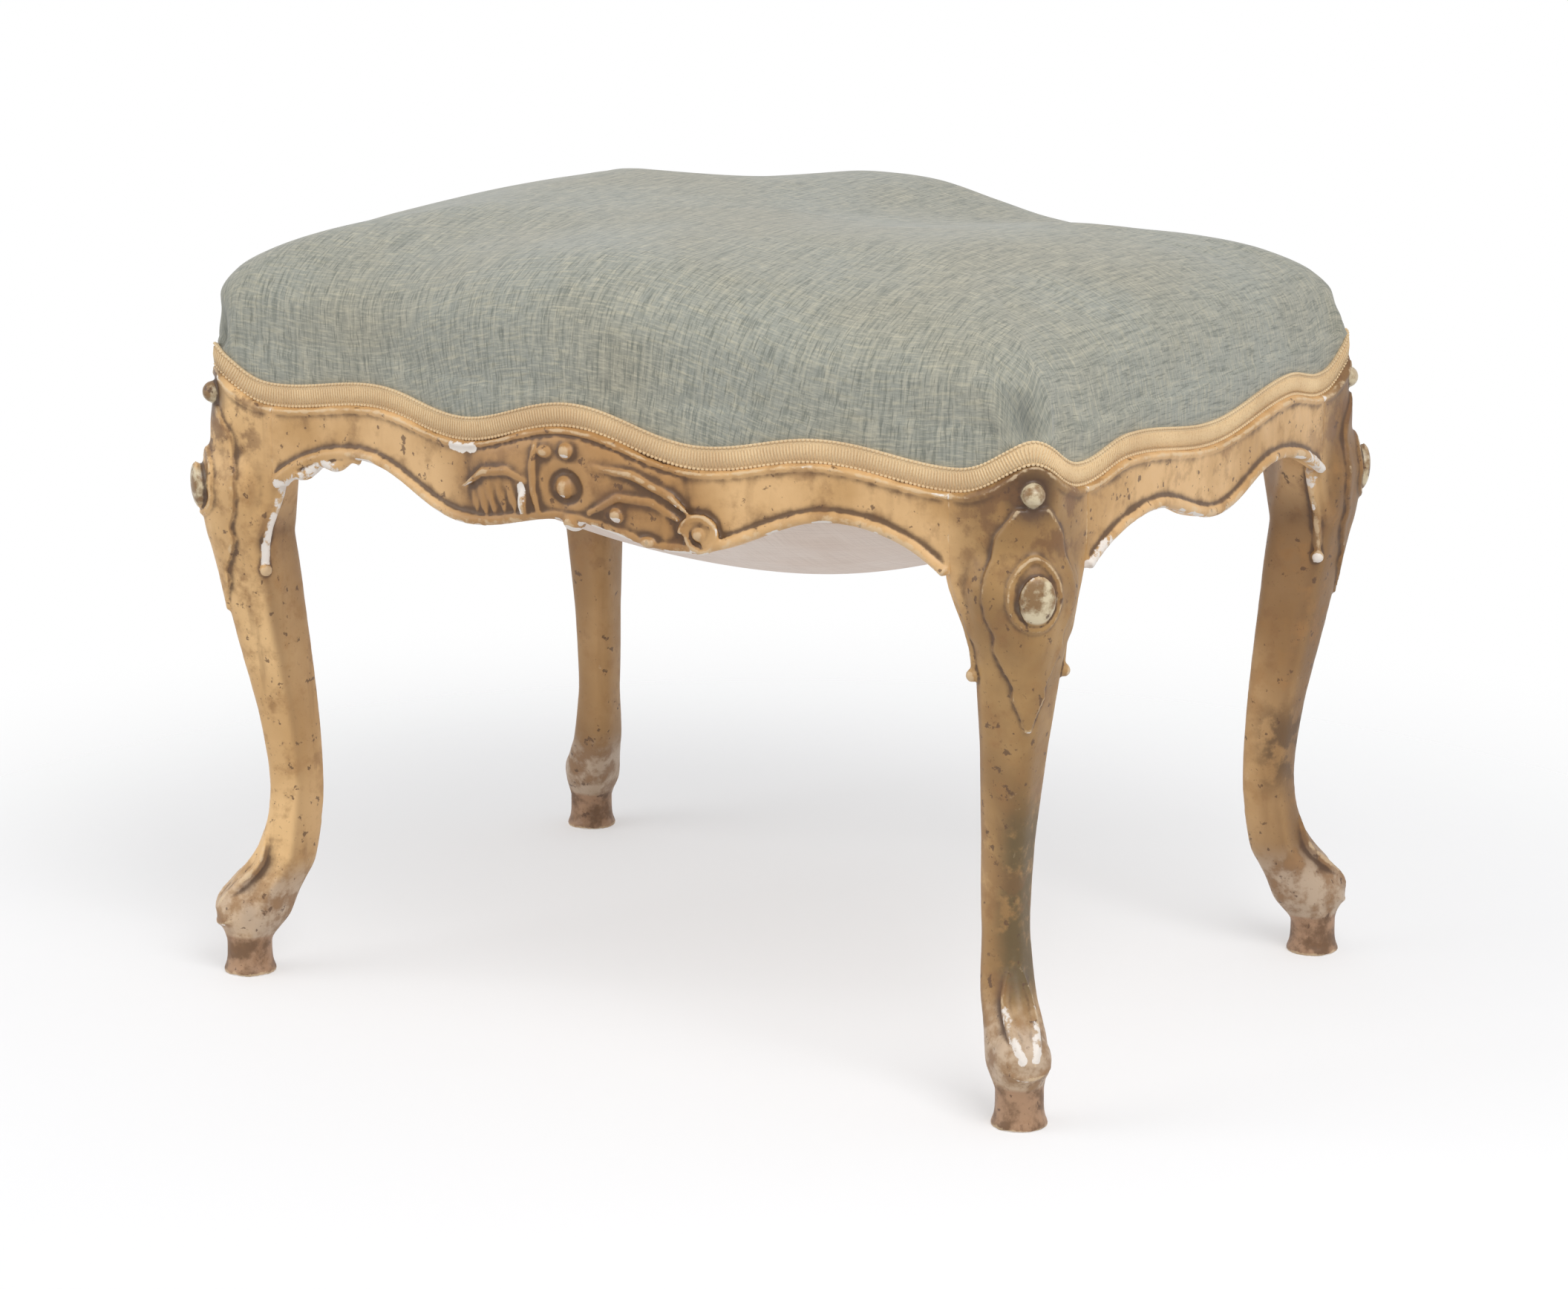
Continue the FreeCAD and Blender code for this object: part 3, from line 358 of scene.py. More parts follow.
def struck(skin, start, way, near, lift):
    """The point of a skin that a ray meets, or else the one nearest to near, and the way it faces."""
    point, normal, _, _ = skin.ray_cast(start, way)
    if point is None:
        point, normal, _, _ = skin.find_nearest(near)
    return point + normal * lift, normal


LEG = Vector((0.2785, -0.1957, 0))
OUT = Vector((1, -1, 0)).normalized()
ASIDE = Vector((1, 1, 0)).normalized()
UP = Vector((0, 0, 1))
SHOULDER = 0.3715
BASE_VOXEL = 0.0018
# The instep runs down in one slope from the shin onto the toe
instep = [(-0.019, 0.092), (-0.0155, 0.084), (-0.0105, 0.0755), (-0.005, 0.067),
          (-0.0005, 0.0595), (0.0025, 0.052), (0.004, 0.044)]
slope = tube([LEG + OUT * out + UP * height for out, height in instep],
             [0.0065, 0.0075, 0.008, 0.0085, 0.0095, 0.011, 0.013], 24)
leg_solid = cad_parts["leg_front_right"].data
leg_base = remeshed("leg_base", [lump_of(leg_solid), slope], BASE_VOXEL)
spots = points_of(leg_base)
inside_joint = np.maximum(-(spots[:, 0] - LEG.x), spots[:, 1] - LEG.y)
keep = ramp(inside_joint, 0.030, 0.008) * ramp(spots[:, 2], 0.322, 0.008)
keep = np.maximum(keep, ramp(spots[:, 2], 0.372, 0.008))
spots = relaxed(leg_base, 14, 0.5 * (1 - keep))


ear_rise = 0.0195
ear_half = 0.059


def ear_height(turn):
    """The show edge over a corner, by how far a point lies off the diagonal."""
    return SHOULDER + ear_rise * ((1 + math.cos(math.pi * min(1, abs(turn) / ear_half))) / 2) ** 1.6


# The straight runs of the solid's curve are rounded off, front and back, between the toe and the knee
reach_out = (spots - np.array(LEG)) @ np.array(OUT)
slices = np.arange(0.040, 0.300, 0.002)
rounding = 0.017
lines = {}
for side, pick in (("front", np.max), ("back", np.min)):
    line = np.array([pick(reach_out[np.abs(spots[:, 2] - level) < 0.002]) for level in slices])
    near = np.exp(-((slices[:, None] - slices) / rounding) ** 2 / 2)
    near *= np.minimum(1, np.minimum(slices - 0.038, 0.302 - slices) / 0.05)
    lines[side] = line, near @ line / near.sum(axis=1) - line
fade = ramp(spots[:, 2], 0.062, 0.025) * ramp(-spots[:, 2], -0.285, 0.03)
front_at, back_at = (np.interp(spots[:, 2], slices, lines[side][0]) for side in ("front", "back"))
front_shift, back_shift = (np.interp(spots[:, 2], slices, lines[side][1]) for side in ("front", "back"))
front_share = np.clip((reach_out - back_at) / (front_at - back_at), 0, 1)
shift = fade * (back_shift + (front_shift - back_shift) * front_share)
knee_height = 0.315
knee_drawn_in = 0.0036
shift -= knee_drawn_in * front_share * np.exp(-((spots[:, 2] - knee_height) / 0.024) ** 2)
spots += shift[:, None] * np.array(OUT)

# The square ears of the solid are rounded into one hump
ear_foot = 0.3700
for index, (x, y, z) in enumerate(spots):
    if z > SHOULDER:
        turn = min(ear_half, abs(x - LEG.x + y - LEG.y))
        square = wave_height(turn, [(0.031, 0.390), (ear_half, SHOULDER)])
        share = (ear_height(turn) - ear_foot) / (square - ear_foot)
        spots[index, 2] = SHOULDER + (z - SHOULDER) * share
leg_base.vertices.foreach_set("co", spots.ravel())
leg_skin = surface_of(leg_base)


def on_knee(aside, height, lift=0.0):
    """The point of the leg's front at a distance beside the diagonal, and the way it faces."""
    start = LEG + OUT * 0.12 + ASIDE * aside + UP * height
    return struck(leg_skin, start, -OUT, start - OUT * 0.1, lift)


# The hollow for the bead, sunk into the corner under the braid
bead_height = 0.3745
hollow_depth = 0.0034
point, normal = on_knee(0, bead_height)
sunk = points_of(leg_base)
from_bead = np.linalg.norm((sunk - np.array(point)) * (1, 1, 0.8), axis=1)
sunk -= np.array(normal) * (hollow_depth * np.exp(-(from_bead / 0.0115) ** 2))[:, None]
leg_base.vertices.foreach_set("co", sunk.ravel())
leg_skin = surface_of(leg_base)
carving = [lump_of(leg_base)]
# The shield on the knee: a low ledge with a wavy border, drawn down to a point
shield = [(0.236, 0.0015), (0.246, 0.004), (0.256, 0.0085), (0.264, 0.0085), (0.274, 0.0140),
          (0.285, 0.0195), (0.293, 0.0190), (0.303, 0.0240), (0.316, 0.0270), (0.328, 0.0250),
          (0.338, 0.0205), (0.350, 0.0190), (0.360, 0.0130), (0.366, 0.0095)]
heights, halves = zip(*shield)
rows = []
for height in np.linspace(heights[0], heights[-1], 60):
    half = np.interp(height, heights, halves)
    rows.append([on_knee(half * across, height) for across in np.linspace(-1, 1, 25)])


def shield_lift(_, share):
    """A level ledge with a low rim near its border."""
    border = abs(2 * share - 1)
    return 0.0020 + 0.0005 * math.exp(-((border - 0.9) / 0.08) ** 2)


carving.append(raised(rows, shield_lift, 0.002))
# The oval boss in its pointed rim, and the bead in its hollow
boss_at, normal = on_knee(0, 0.3165, 0.0018)
carving.append(knob(boss_at, normal, UP, (0.0110, 0.0150, 0.0046)))
ring = []
for turn in np.linspace(0, 2 * math.pi, 49):
    half_height = 0.0180 + 0.0030 * max(0, math.cos(turn)) ** 6
    ring.append(on_knee(0.0134 * math.sin(turn), 0.3172 + half_height * math.cos(turn), 0.0024)[0])
carving.append(tube(ring, [0.0016]))
bead_at, normal = on_knee(0, bead_height, 0.0030)
carving.append(knob(bead_at, normal, UP, (0.0069, 0.0069, 0.0064)))
# The lip of each arch runs down the side of the leg into a curl with a ball
arch_lips = []
lip_knots = [(0.0425, 0.3245), (0.039, 0.3165), (0.0355, 0.306),
             (0.0325, 0.294), (0.030, 0.281), (0.0285, 0.270)]
for along, across in ((Vector((-1, 0, 0)), Vector((0, -1, 0))), (Vector((0, 1, 0)), Vector((1, 0, 0)))):
    lip = []
    for reach, height in lip_knots:
        guess = LEG + along * reach + across * 0.010 + UP * height
        point, normal, _, _ = leg_skin.find_nearest(guess)
        lip.append(point + normal * 0.0008)
    carving.append(tube(lip, [0.0032, 0.0030, 0.0026, 0.0022]))
    arch_lips.append(lip)
    end, normal = lip[-1], leg_skin.find_nearest(lip[-1])[1]
    ball_at = end + normal * 0.0015 - UP * 0.004
    carving.append(knob(ball_at, normal, UP, (0.0040, 0.0040, 0.0036)))
    # The bead line under the braid over each ear
    edge = []
    for reach in np.linspace(-0.004, 0.042, 14):
        guess = LEG + along * reach + across * 0.019 + UP * (ear_height(reach + 0.017) - 0.0022)
        edge.append(leg_skin.find_nearest(guess)[0])
    carving.append(tube(edge, [0.0016]))
# The foot: a round pad over a short turned peg, with two long petals on the pad and a band across them
pad_at = LEG + OUT * 0.0035 + UP * 0.0400
carving.append(knob(pad_at, OUT, UP, (0.0174, 0.0162, 0.0168), 16, 32))
peg_profile = [(0, 0), (0, 0.0164), (0.0014, 0.0168), (0.0034, 0.0160), (0.0060, 0.0150),
               (0.0095, 0.0144), (0.0140, 0.0142), (0.0250, 0.0142), (0.030, 0)]
peg_sides = 40
peg_points = []
for height, radius in peg_profile:
    for side in range(peg_sides):
        angle = 2 * math.pi * side / peg_sides
        peg_points.append(LEG + Vector((radius * math.cos(angle), radius * math.sin(angle), height)))
carving.append((peg_points, ring_faces(len(peg_profile), peg_sides)))
petals = []
for way in (-1, 1):
    petal = []
    for share in np.linspace(0, 1, 14):
        aside = way * (0.0030 + 0.0048 * math.sin(math.pi * share))
        petal.append(on_knee(aside, 0.041 + 0.050 * share, -0.0004)[0])
    carving.append(tube(petal, [0.0016, 0.0032, 0.0030, 0.0012]))
    petals.append((petal[1:8], 0.0030))
toe_band = [on_knee(aside, 0.0335 + 18 * aside ** 2, -0.0002)[0]
            for aside in np.linspace(-0.0145, 0.0145, 15)]
carving.append(tube(toe_band, [0.0014, 0.0020, 0.0014]))


def carved_piece(name, lumps, flips, bare):
    """The carved skin of a node, mirrored for its twins; bare holds lines of lost paint and half widths."""
    mesh = remeshed(name, lumps, 0.0012)
    mesh.vertices.foreach_set("co", relaxed(mesh, 2, 0.4).ravel())
    mesh.update()
    points = points_of(mesh)
    normals = np.empty(len(points) * 3)
    mesh.vertices.foreach_get("normal", normals)
    relief = np.einsum("ij,ij->i", points - relaxed(mesh, 24, 0.5), normals.reshape(-1, 3)) / 0.001
    made = []
    faces = [list(face.vertices) for face in mesh.polygons]
    for twin, (sign_x, sign_y) in flips.items():
        outward_faces = faces if sign_x * sign_y > 0 else [face[::-1] for face in faces]
        piece = new_piece(f"carved_{twin}", points * (sign_x, sign_y, 1), outward_faces)
        piece.data.attributes.new("relief", "FLOAT", "POINT").data.foreach_set("value", relief)
        lost = np.zeros(len(points))
        for line, half_width in bare.get(twin, []):
            steps = np.linspace(0, len(line) - 1, 60)
            axes = zip(*line)
            line = np.array([np.interp(steps, np.arange(len(line)), axis) for axis in axes]).T
            apart = np.min([np.linalg.norm(points - point, axis=1) for point in line], axis=0)
            lost = np.maximum(lost, 1.5 - apart / half_width)
        piece.data.attributes.new("lost_paint", "FLOAT", "POINT").data.foreach_set("value", lost)
        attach(piece, "root")
        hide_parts(twin)
        made.append(piece)
    return made


leg_twins = {"leg_front_right": (1, 1), "leg_front_left": (-1, 1),
             "leg_back_right": (1, -1), "leg_back_left": (-1, -1)}
leg_losses = {"leg_front_left": [(arch_lips[0], 0.0030)],
              "leg_back_right": [(arch_lips[1][:2], 0.0034)],
              "leg_front_right": [(arch_lips[1][:2], 0.0030), *petals]}
carved = carved_piece("leg", carving, leg_twins, leg_losses)

# Front and back rails: bowed beech, tenoned into the legs, with a lip along the waved apron and a bead line
# under the braid. The carved centre has a boss, flutes on the left and a leaf with a scroll eye on the right
def softened_rail(node, axis, joint, rebate, run_in):
    """A rail's solid with soft edges, kept at its joints and rebate, its ends run into the legs."""
    base = remeshed(f"{node}_base", [lump_of(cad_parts[node].data)], BASE_VOXEL)
    spots = points_of(base)
    keep = np.maximum(ramp(np.abs(spots[:, axis]), joint, 0.006), ramp(spots[:, 2], rebate, 0.008))
    spots = relaxed(base, 8, 0.5 * (1 - keep))
    along = spots[:, axis]
    spots[:, axis] += np.sign(along) * 0.0025 * ramp(np.abs(along), run_in, 0.012)
    base.vertices.foreach_set("co", spots.ravel())
    return base, surface_of(base)


def apron_line(place, waves, run, fall):
    """The lower edge of a rail: waves in the middle, then an arc that falls to the leg."""
    place = abs(place)
    turn, top = waves[-1]
    if place < turn:
        return wave_height(place, waves)
    radius = (run ** 2 + fall ** 2) / (2 * fall)
    return top - (radius - math.sqrt(max(radius ** 2 - (place - turn) ** 2, 0)))


def on_front(x, z, lift=0.0):
    """The point of the front rail's face, and the way it faces."""
    return struck(front_skin, Vector((x, -0.35, z)), Vector((0, 1, 0)), Vector((x, -0.24, z)), lift)


def apron_height(x):
    return apron_line(x, [(0, 0.334), (0.075, 0.322), (0.165, 0.347)], 0.0715, 0.025)


front_half = 0.2365
lip_up, lip_lift, lip_radius = 0.0032, 0.0004, 0.0034
bead_down, bead_radius = 0.0022, 0.0016
show_edge = [(0, 0.3885), (0.085, 0.371), (0.155, 0.380), (front_half, SHOULDER)]
front_base, front_skin = softened_rail("rail_front", 0, 0.228, 0.366, 0.222)
carving = [lump_of(front_base)]
along_front = np.linspace(-front_half, front_half, 120)
lip = [on_front(x, apron_height(x) + lip_up, lip_lift)[0] for x in along_front]
carving.append(tube(lip, [lip_radius]))
hanging = [on_front(x, apron_height(x) + 0.001, 0.0006)[0] - UP * (0.003 + 0.002 * math.sin(x * 260))
           for x in np.linspace(-0.234, -0.168, 30)]
carving.append(tube(hanging, [0.0024, 0.0042, 0.0036, 0.0040, 0.0016]))
edge = [on_front(x, wave_height(abs(x), show_edge) - bead_down)[0] for x in along_front]
carving.append(tube(edge, [bead_radius]))
# The swelling ground of the centre
centre_from, centre_to = -0.078, 0.082
rows = []
for z_share in np.linspace(0, 1, 26):
    row = []
    for x in np.linspace(centre_from, centre_to, 60):
        low, high = apron_height(x) + 0.003, wave_height(abs(x), show_edge) - 0.006
        row.append(on_front(x, low + (high - low) * z_share))
    rows.append(row)


def centre_lift(rise, share):
    """A swelling with flutes on its left and a sunk ring round the boss."""
    x = centre_from + (centre_to - centre_from) * share
    ends = min(1, share / 0.12, (1 - share) / 0.10)
    body = 0.0042 * ends * math.sin(math.pi * (0.08 + 0.84 * rise)) ** 0.6
    if x < -0.030:
        flutes = 0.5 + 0.5 * math.cos((x + 0.030 + 0.35 * (rise - 0.5) * 0.03) * 2 * math.pi / 0.0075)
        body -= 0.0030 * flutes * max(0, 1 - rise * 1.7) * ends
    from_boss = math.hypot(x, (rise - 0.38) * 0.05)
    body -= 0.0024 * math.exp(-((from_boss - 0.0095) / 0.003) ** 2)
    return max(body, -0.0008) - 0.0010 * (1 - ends)


carving.append(raised(rows, centre_lift, 0.002))
# The beads and drops: place, half sizes across and up, and how far each stands out
beads = ((0, 0.354, 0.0055, 0.0068, 0.0075), (0.001, 0.3755, 0.0052, 0.005, 0.0072),
         (-0.0145, 0.3735, 0.0058, 0.0042, 0.005), (0.035, 0.3415, 0.0048, 0.0048, 0.0075),
         (0.087, 0.335, 0.0052, 0.0052, 0.0068), (0.055, 0.3275, 0.006, 0.0038, 0.006),
         (0.003, 0.3305, 0.0062, 0.0085, 0.006), (-0.030, 0.342, 0.0035, 0.0095, 0.0062))
for x, z, across, up, proud in beads:
    point, normal = on_front(x, z)
    carving.append(knob(point + normal * 0.0012, normal, UP, (across, up, proud)))
# The scroll eye and the leaf's veins
scroll = []
for turn in np.linspace(0, 1.7 * 2 * math.pi, 44):
    reach = 0.0115 - 0.0006 * turn
    scroll.append(on_front(0.087 - reach * math.cos(turn), 0.334 + reach * math.sin(turn), 0.0035)[0])
carving.append(tube(scroll, [0.0022, 0.0018]))
veins = (((0.018, 0.368), (0.045, 0.366), (0.068, 0.356), (0.080, 0.346)),
         ((0.016, 0.340), (0.036, 0.352), (0.058, 0.351), (0.074, 0.342)),
         ((-0.0215, 0.377), (-0.0225, 0.364), (-0.022, 0.350), (-0.019, 0.336)),
         ((-0.076, 0.345), (-0.060, 0.356), (-0.042, 0.359), (-0.026, 0.354)))
for line in veins:
    xs, zs = zip(*line)
    knots = np.linspace(0, 1, len(line))
    vein = [on_front(np.interp(share, knots, xs), np.interp(share, knots, zs), 0.0036)[0]
            for share in np.linspace(0, 1, 20)]
    carving.append(tube(vein, [0.001, 0.0026, 0.0024, 0.001]))
under_braid = [on_front(x, wave_height(abs(x), show_edge) - 0.004)[0] for x in (-0.088, -0.079, -0.070)]
leaf_edge = [on_front(x, z, 0.004)[0] for x, z in ((-0.031, 0.350), (-0.030, 0.343), (-0.032, 0.337))]
drop_edge = [on_front(x, apron_height(x) + 0.001)[0] for x in (0.004, 0.016, 0.030)]
front_losses = [(hanging[:22], 0.0036), (under_braid, 0.0030), (leaf_edge, 0.0032), (drop_edge, 0.0034)]
carved += carved_piece("rail", carving, {"rail_front": (1, 1), "rail_back": (1, -1)},
                       {"rail_front": front_losses})


# Side rails: bowed beech, tenoned into the legs, with the same lip and bead line as the long rails
# and a plain drop in the middle
def on_side(y, z, lift=0.0):
    """The point of the right rail's face, and the way it faces."""
    return struck(side_skin, Vector((0.4, y, z)), Vector((-1, 0, 0)), Vector((0.3, y, z)), lift)


def side_apron(y):
    return apron_line(y, [(0, 0.326), (0.080, 0.344)], 0.0737, 0.022)


side_half = 0.1537
side_edge = [(0, 0.3685), (0.105, 0.379), (side_half, SHOULDER)]
side_base, side_skin = softened_rail("rail_right", 1, 0.146, 0.364, 0.139)
carving = [lump_of(side_base)]
along_side = np.linspace(-side_half, side_half, 90)
lip = [on_side(y, side_apron(y) + lip_up, lip_lift)[0] for y in along_side]
carving.append(tube(lip, [lip_radius]))
edge = [on_side(y, wave_height(abs(y), side_edge) - bead_down)[0] for y in along_side]
carving.append(tube(edge, [bead_radius]))
carved += carved_piece("rail", carving, {"rail_right": (1, 1), "rail_left": (-1, 1)},
                       {"rail_right": [(lip[-8:], 0.0036), (lip[:7], 0.0034)]})

# Old ochre paint over white gesso: darker and olive on the legs, painted shade on the back legs and in brown
# on the legs' inward-facing sides, painted light on the front left leg, dirt and painted shade in the
# hollows, paint worn off the edges, specks and chips, and a bronzed streak on two shins
wood, wood_shader, spot = new_material("worn_paint")
relief = spot.attribute("relief")
broad = spot.noise(16, 5)
blotch = spot.noise(70, 5, 0.6)
fine = spot.noise(420, 4, 0.6)
streak = spot.stretched(1, 1, 0.12).noise(120, 3)
way = spot.node("NewGeometry", {}, 1)
way_x, way_y, way_z = way.parts()
place_x, place_y, place_z = spot.parts()
folded = spot.node("VectorMath", {0: spot}, operation="ABSOLUTE")
far_x, far_y, _ = folded.parts()
on_leg = far_x.step(0.228, 0.262) * far_y.step(0.145, 0.179)
rail_tone = broad.step(0.34, 0.62).mix(paint(196, 153, 98), paint(226, 184, 130))
# Leg paint: dull olive, darker on the back legs as painted shade; the front left leg takes a lighter copy as
# painted light
dull_and_shaded_tone = broad.step(0.36, 0.66).mix(paint(146, 110, 64), paint(179, 140, 87))
dull_and_shaded_tone = (place_y.step(0, 0.1) * 0.8).mix(dull_and_shaded_tone, paint(122, 87, 48))
lit_leg_tone = broad.step(0.36, 0.66).mix(paint(204, 162, 108), paint(230, 189, 133))
lit_front_left = place_x.step(0, -0.1) * place_y.step(0, -0.1)
tan = on_leg.mix(rail_tone, lit_front_left.mix(dull_and_shaded_tone, lit_leg_tone))
# Painted shade: the legs' inward-facing sides, and their sides past the arch lips, are darkened to brown
inner_x = way_x * place_x.calc("SIGN") * -1
inner_y = way_y * place_y.calc("SIGN") * -1
inner_face_shade = inner_x.calc("MAXIMUM", inner_y).step(0.25, 0.8) * on_leg
inside_x, inside_y = (reach * -1 + axis for reach, axis in ((far_x, LEG.x), (far_y, -LEG.y)))
past_lip_shade = inside_x.calc("MAXIMUM", inside_y) - (place_z - 0.270) * 0.257 - 0.0295
past_lip_shade = past_lip_shade.step(0, 0.003) * place_z.step(0.255, 0.268) * place_z.step(0.330, 0.322) * on_leg
tan = inner_face_shade.calc("MAXIMUM", past_lip_shade).step(0, 1.2).mix(tan, paint(118, 84, 48))
centre = far_x.step(0.105, 0.07) * far_y.step(0.20, 0.21)
tan = (centre * 0.75).mix(tan, paint(164, 118, 66))
tan = (blotch.step(0.48, 0.72) * (on_leg * 0.35 + 0.35)).mix(tan, paint(158, 115, 67))
tan = (streak.step(0.55, 0.8) * (on_leg * 0.3 + 0.2)).mix(tan, paint(138, 100, 60))
near_shin = place_z.step(0.060, 0.085) * place_z.step(0.215, 0.165) * (place_x + place_y).step(0.064, 0.080)
near_shin = near_shin * place_y.step(-0.16, -0.17) * blotch.step(0.32, 0.50)
tan = (near_shin * 0.85).mix(tan, paint(86, 72, 43))
far_shin = place_z.step(0.10, 0.13) * place_z.step(0.18, 0.15) * (place_x + place_y).step(0.405, 0.425)
tan = (far_shin * blotch.step(0.40, 0.56) * 0.75).mix(tan, paint(80, 58, 36))
pad_tone = blotch.step(0.40, 0.60).mix(paint(206, 184, 160), paint(150, 118, 88))
tan = (place_z.step(0.080, 0.050) * 0.7).mix(tan, pad_tone)
peg_tone = blotch.step(0.38, 0.60).mix(paint(160, 118, 84), paint(96, 66, 42))
tan = (place_z.step(0.0265, 0.0235) * 0.75).mix(tan, peg_tone)
# The knee: smudged between bead and boss, painted shade in the hollow round the bead, both of them silvered
smudge = spot.noise(60, 4, 0.6).step(0.46, 0.60) * on_leg * place_z.step(0.322, 0.345)
tan = (smudge * 0.7).mix(tan, paint(112, 76, 44))
bead_gap = folded.gap_to((bead_at.x, -bead_at.y, bead_at.z))
boss_gap = folded.gap_to((boss_at.x, -boss_at.y, boss_at.z))
# Painted shade in the hollow round the bead
tan = (bead_gap.step(0.022, 0.009) * 0.8).mix(tan, paint(72, 48, 29))
silver = bead_gap.step(0.0082, 0.0066).calc("MAXIMUM", boss_gap.step(0.0142, 0.0120))
tan = silver.mix(tan, blotch.step(0.42, 0.6).mix(paint(218, 202, 168), paint(138, 106, 68)))
# Dirt and painted shade in the hollows of the carving, strongest in the carved centre
grime_and_shade = (relief * -1.4 + blotch * 0.9 - 0.34 + centre * 0.20).step(0.1, 0.8)
colour = (grime_and_shade * 0.90).mix(tan, paint(76, 50, 28))
colour = (spot.noise(30, 5, 0.65).step(0.55, 0.66) * 0.4).mix(colour, paint(130, 90, 52))
speck = spot.noise(150, 3, 0.6).step(0.63, 0.69)
colour = (speck * 0.75).mix(colour, paint(84, 56, 36))
fleck = spot.noise(360, 2).step(0.66, 0.71) * on_leg
colour = (fleck * 0.35).mix(colour, paint(92, 62, 38))
worn = (relief * 0.55 + spot.noise(95, 4, 0.65) * 1.1 - 0.62).step(0.28, 0.46) * (1 - silver)
colour = (worn * 0.55).mix(colour, paint(224, 198, 160))
# Bare gesso: small chips on the edges and the undersides, and the lines where the paint is lost
under = (way_z * -1).step(0.2, 0.8) * spot.noise(60, 3).step(0.42, 0.62)
chip = (under * 0.4 + relief * 0.32 + spot.noise(48, 4, 0.6) - 0.55).step(0.36, 0.42) * (1 - silver)
lost = (spot.attribute("lost_paint") + spot.noise(160, 5, 0.65) * 1.6 - 0.8).step(0.45, 0.65)
colour = chip.calc("MAXIMUM", lost).mix(colour, paint(235, 226, 216))
finish_with(wood_shader, colour=colour, rough=blotch * 0.35 + 0.29 - silver * 0.12,
            bump=fine * 0.5 + blotch + chip * -0.4 - lost * 0.5, strength=0.35, distance=0.0006)
for piece in carved:
    piece.data.materials.append(wood)

# Corner blocks and tenon pegs: bare beech with a straight grain,
# the blocks glued and screwed behind the legs, the pegs driven through the tenons
beech, beech_shader, spot = new_material("bare_beech")
grain = spot.stretched(9, 9, 160).noise(4, 4, 0.6)
ticks = spot.stretched(260, 260, 30).noise(2, 2)
colour = grain.step(0.3, 0.7).mix(paint(198, 164, 122), paint(172, 134, 92))
colour = (ticks.step(0.62, 0.7) * 0.5).mix(colour, paint(132, 96, 62))
finish_with(beech_shader, colour=colour, rough=grain * 0.2 + 0.55, bump=grain + ticks, strength=0.2)
corners = ("front_left", "front_right", "back_left", "back_right")


def finish_nodes(names, material):
    for name in names:
        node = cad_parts[name]
        node.data.materials.clear()
        node.data.materials.append(material)


finish_nodes([f"corner_block_{corner}" for corner in corners] + ["tenon_pegs"], beech)

# Screws and seat springs: dull steel with a brown film, the screws driven through the blocks,
# the springs coiled from wire and sewn onto the webbing
steel, steel_shader, spot = new_material("dull_steel")
film = spot.noise(60, 4)
colour = film.step(0.4, 0.7).mix(paint(128, 124, 118), paint(92, 74, 60))
finish_with(steel_shader, colour=colour, rough=film * 0.3 + 0.3, Metallic=0.9)
finish_nodes([f"seat_spring_{corner}" for corner in corners] + ["corner_block_screws"], steel)


# Webbing: jute straps tacked under the ledges, woven over and under each other,
# bowed down by the springs
half_long, half_deep = 0.2815, 0.1987
free_long, free_deep = 0.2695, 0.1867


def dish(x, y, rim, sag):
    """The height of a sheet that hangs from its rim."""
    return rim - sag * (1 - min(1, (x / free_long) ** 2)) * (1 - min(1, (y / free_deep) ** 2))


jute, jute_shader, spot = new_material("jute_webbing")
warp = spot.stretched(1, 1, 0).noise(900, 2)
colour = spot.noise(40, 4, 0.6).step(0.3, 0.7).mix(paint(172, 142, 100), paint(146, 116, 78))
colour = warp.step(0.45, 0.65).mix(colour, paint(120, 92, 60))
finish_with(jute_shader, colour=colour, bump=warp, strength=0.5, Roughness=0.9)
straps = [("webbing_cross_left", "y", -0.095), ("webbing_cross_right", "y", 0.095),
          ("webbing_long_front", "x", -0.058), ("webbing_long_back", "x", 0.058)]
strap_width = 0.050
rows, columns = 80, 13
for node, run, place in straps:
    half = half_long if run == "x" else half_deep
    rim = 0.3495 if run == "x" else 0.3513
    points = []
    for row in range(rows):
        along = -half + 2 * half * row / (rows - 1)
        for column in range(columns):
            across = place - strap_width / 2 + strap_width * column / (columns - 1)
            x, y = (along, across) if run == "x" else (across, along)
            points.append((x, y, dish(x, y, rim, 0.088)))
    faces = [face[::-1] if run == "x" else face for face in grid_faces(rows, columns)]
    strap = new_piece(node.replace("webbing", "strap"), points, faces)
    strap.data.materials.append(jute)
    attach(strap, "root")
    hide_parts(node)

# Spring canvas: coarse hessian laid over the springs and sewn to them,
# tacked to the rail tops on all four sides
hessian, hessian_shader, spot = new_material("hessian")
threads = spot.stretched(1, 0.02, 0.02).noise(700, 1) + spot.stretched(0.02, 1, 0.02).noise(700, 1)
colour = threads.step(0.85, 1.15).mix(paint(186, 156, 112), paint(138, 108, 72))
finish_with(hessian_shader, colour=colour, bump=threads, strength=0.5, Roughness=0.95)
columns, rows = 71, 51
points = [(x, y, dish(x, y, 0.3965, -0.030)) for y in np.linspace(-half_deep, half_deep, rows)
          for x in np.linspace(-half_long, half_long, columns)]
canvas = new_piece("canvas", points, grid_faces(rows, columns))


canvas.data.materials.append(hessian)
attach(canvas, "root")
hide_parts("spring_canvas")

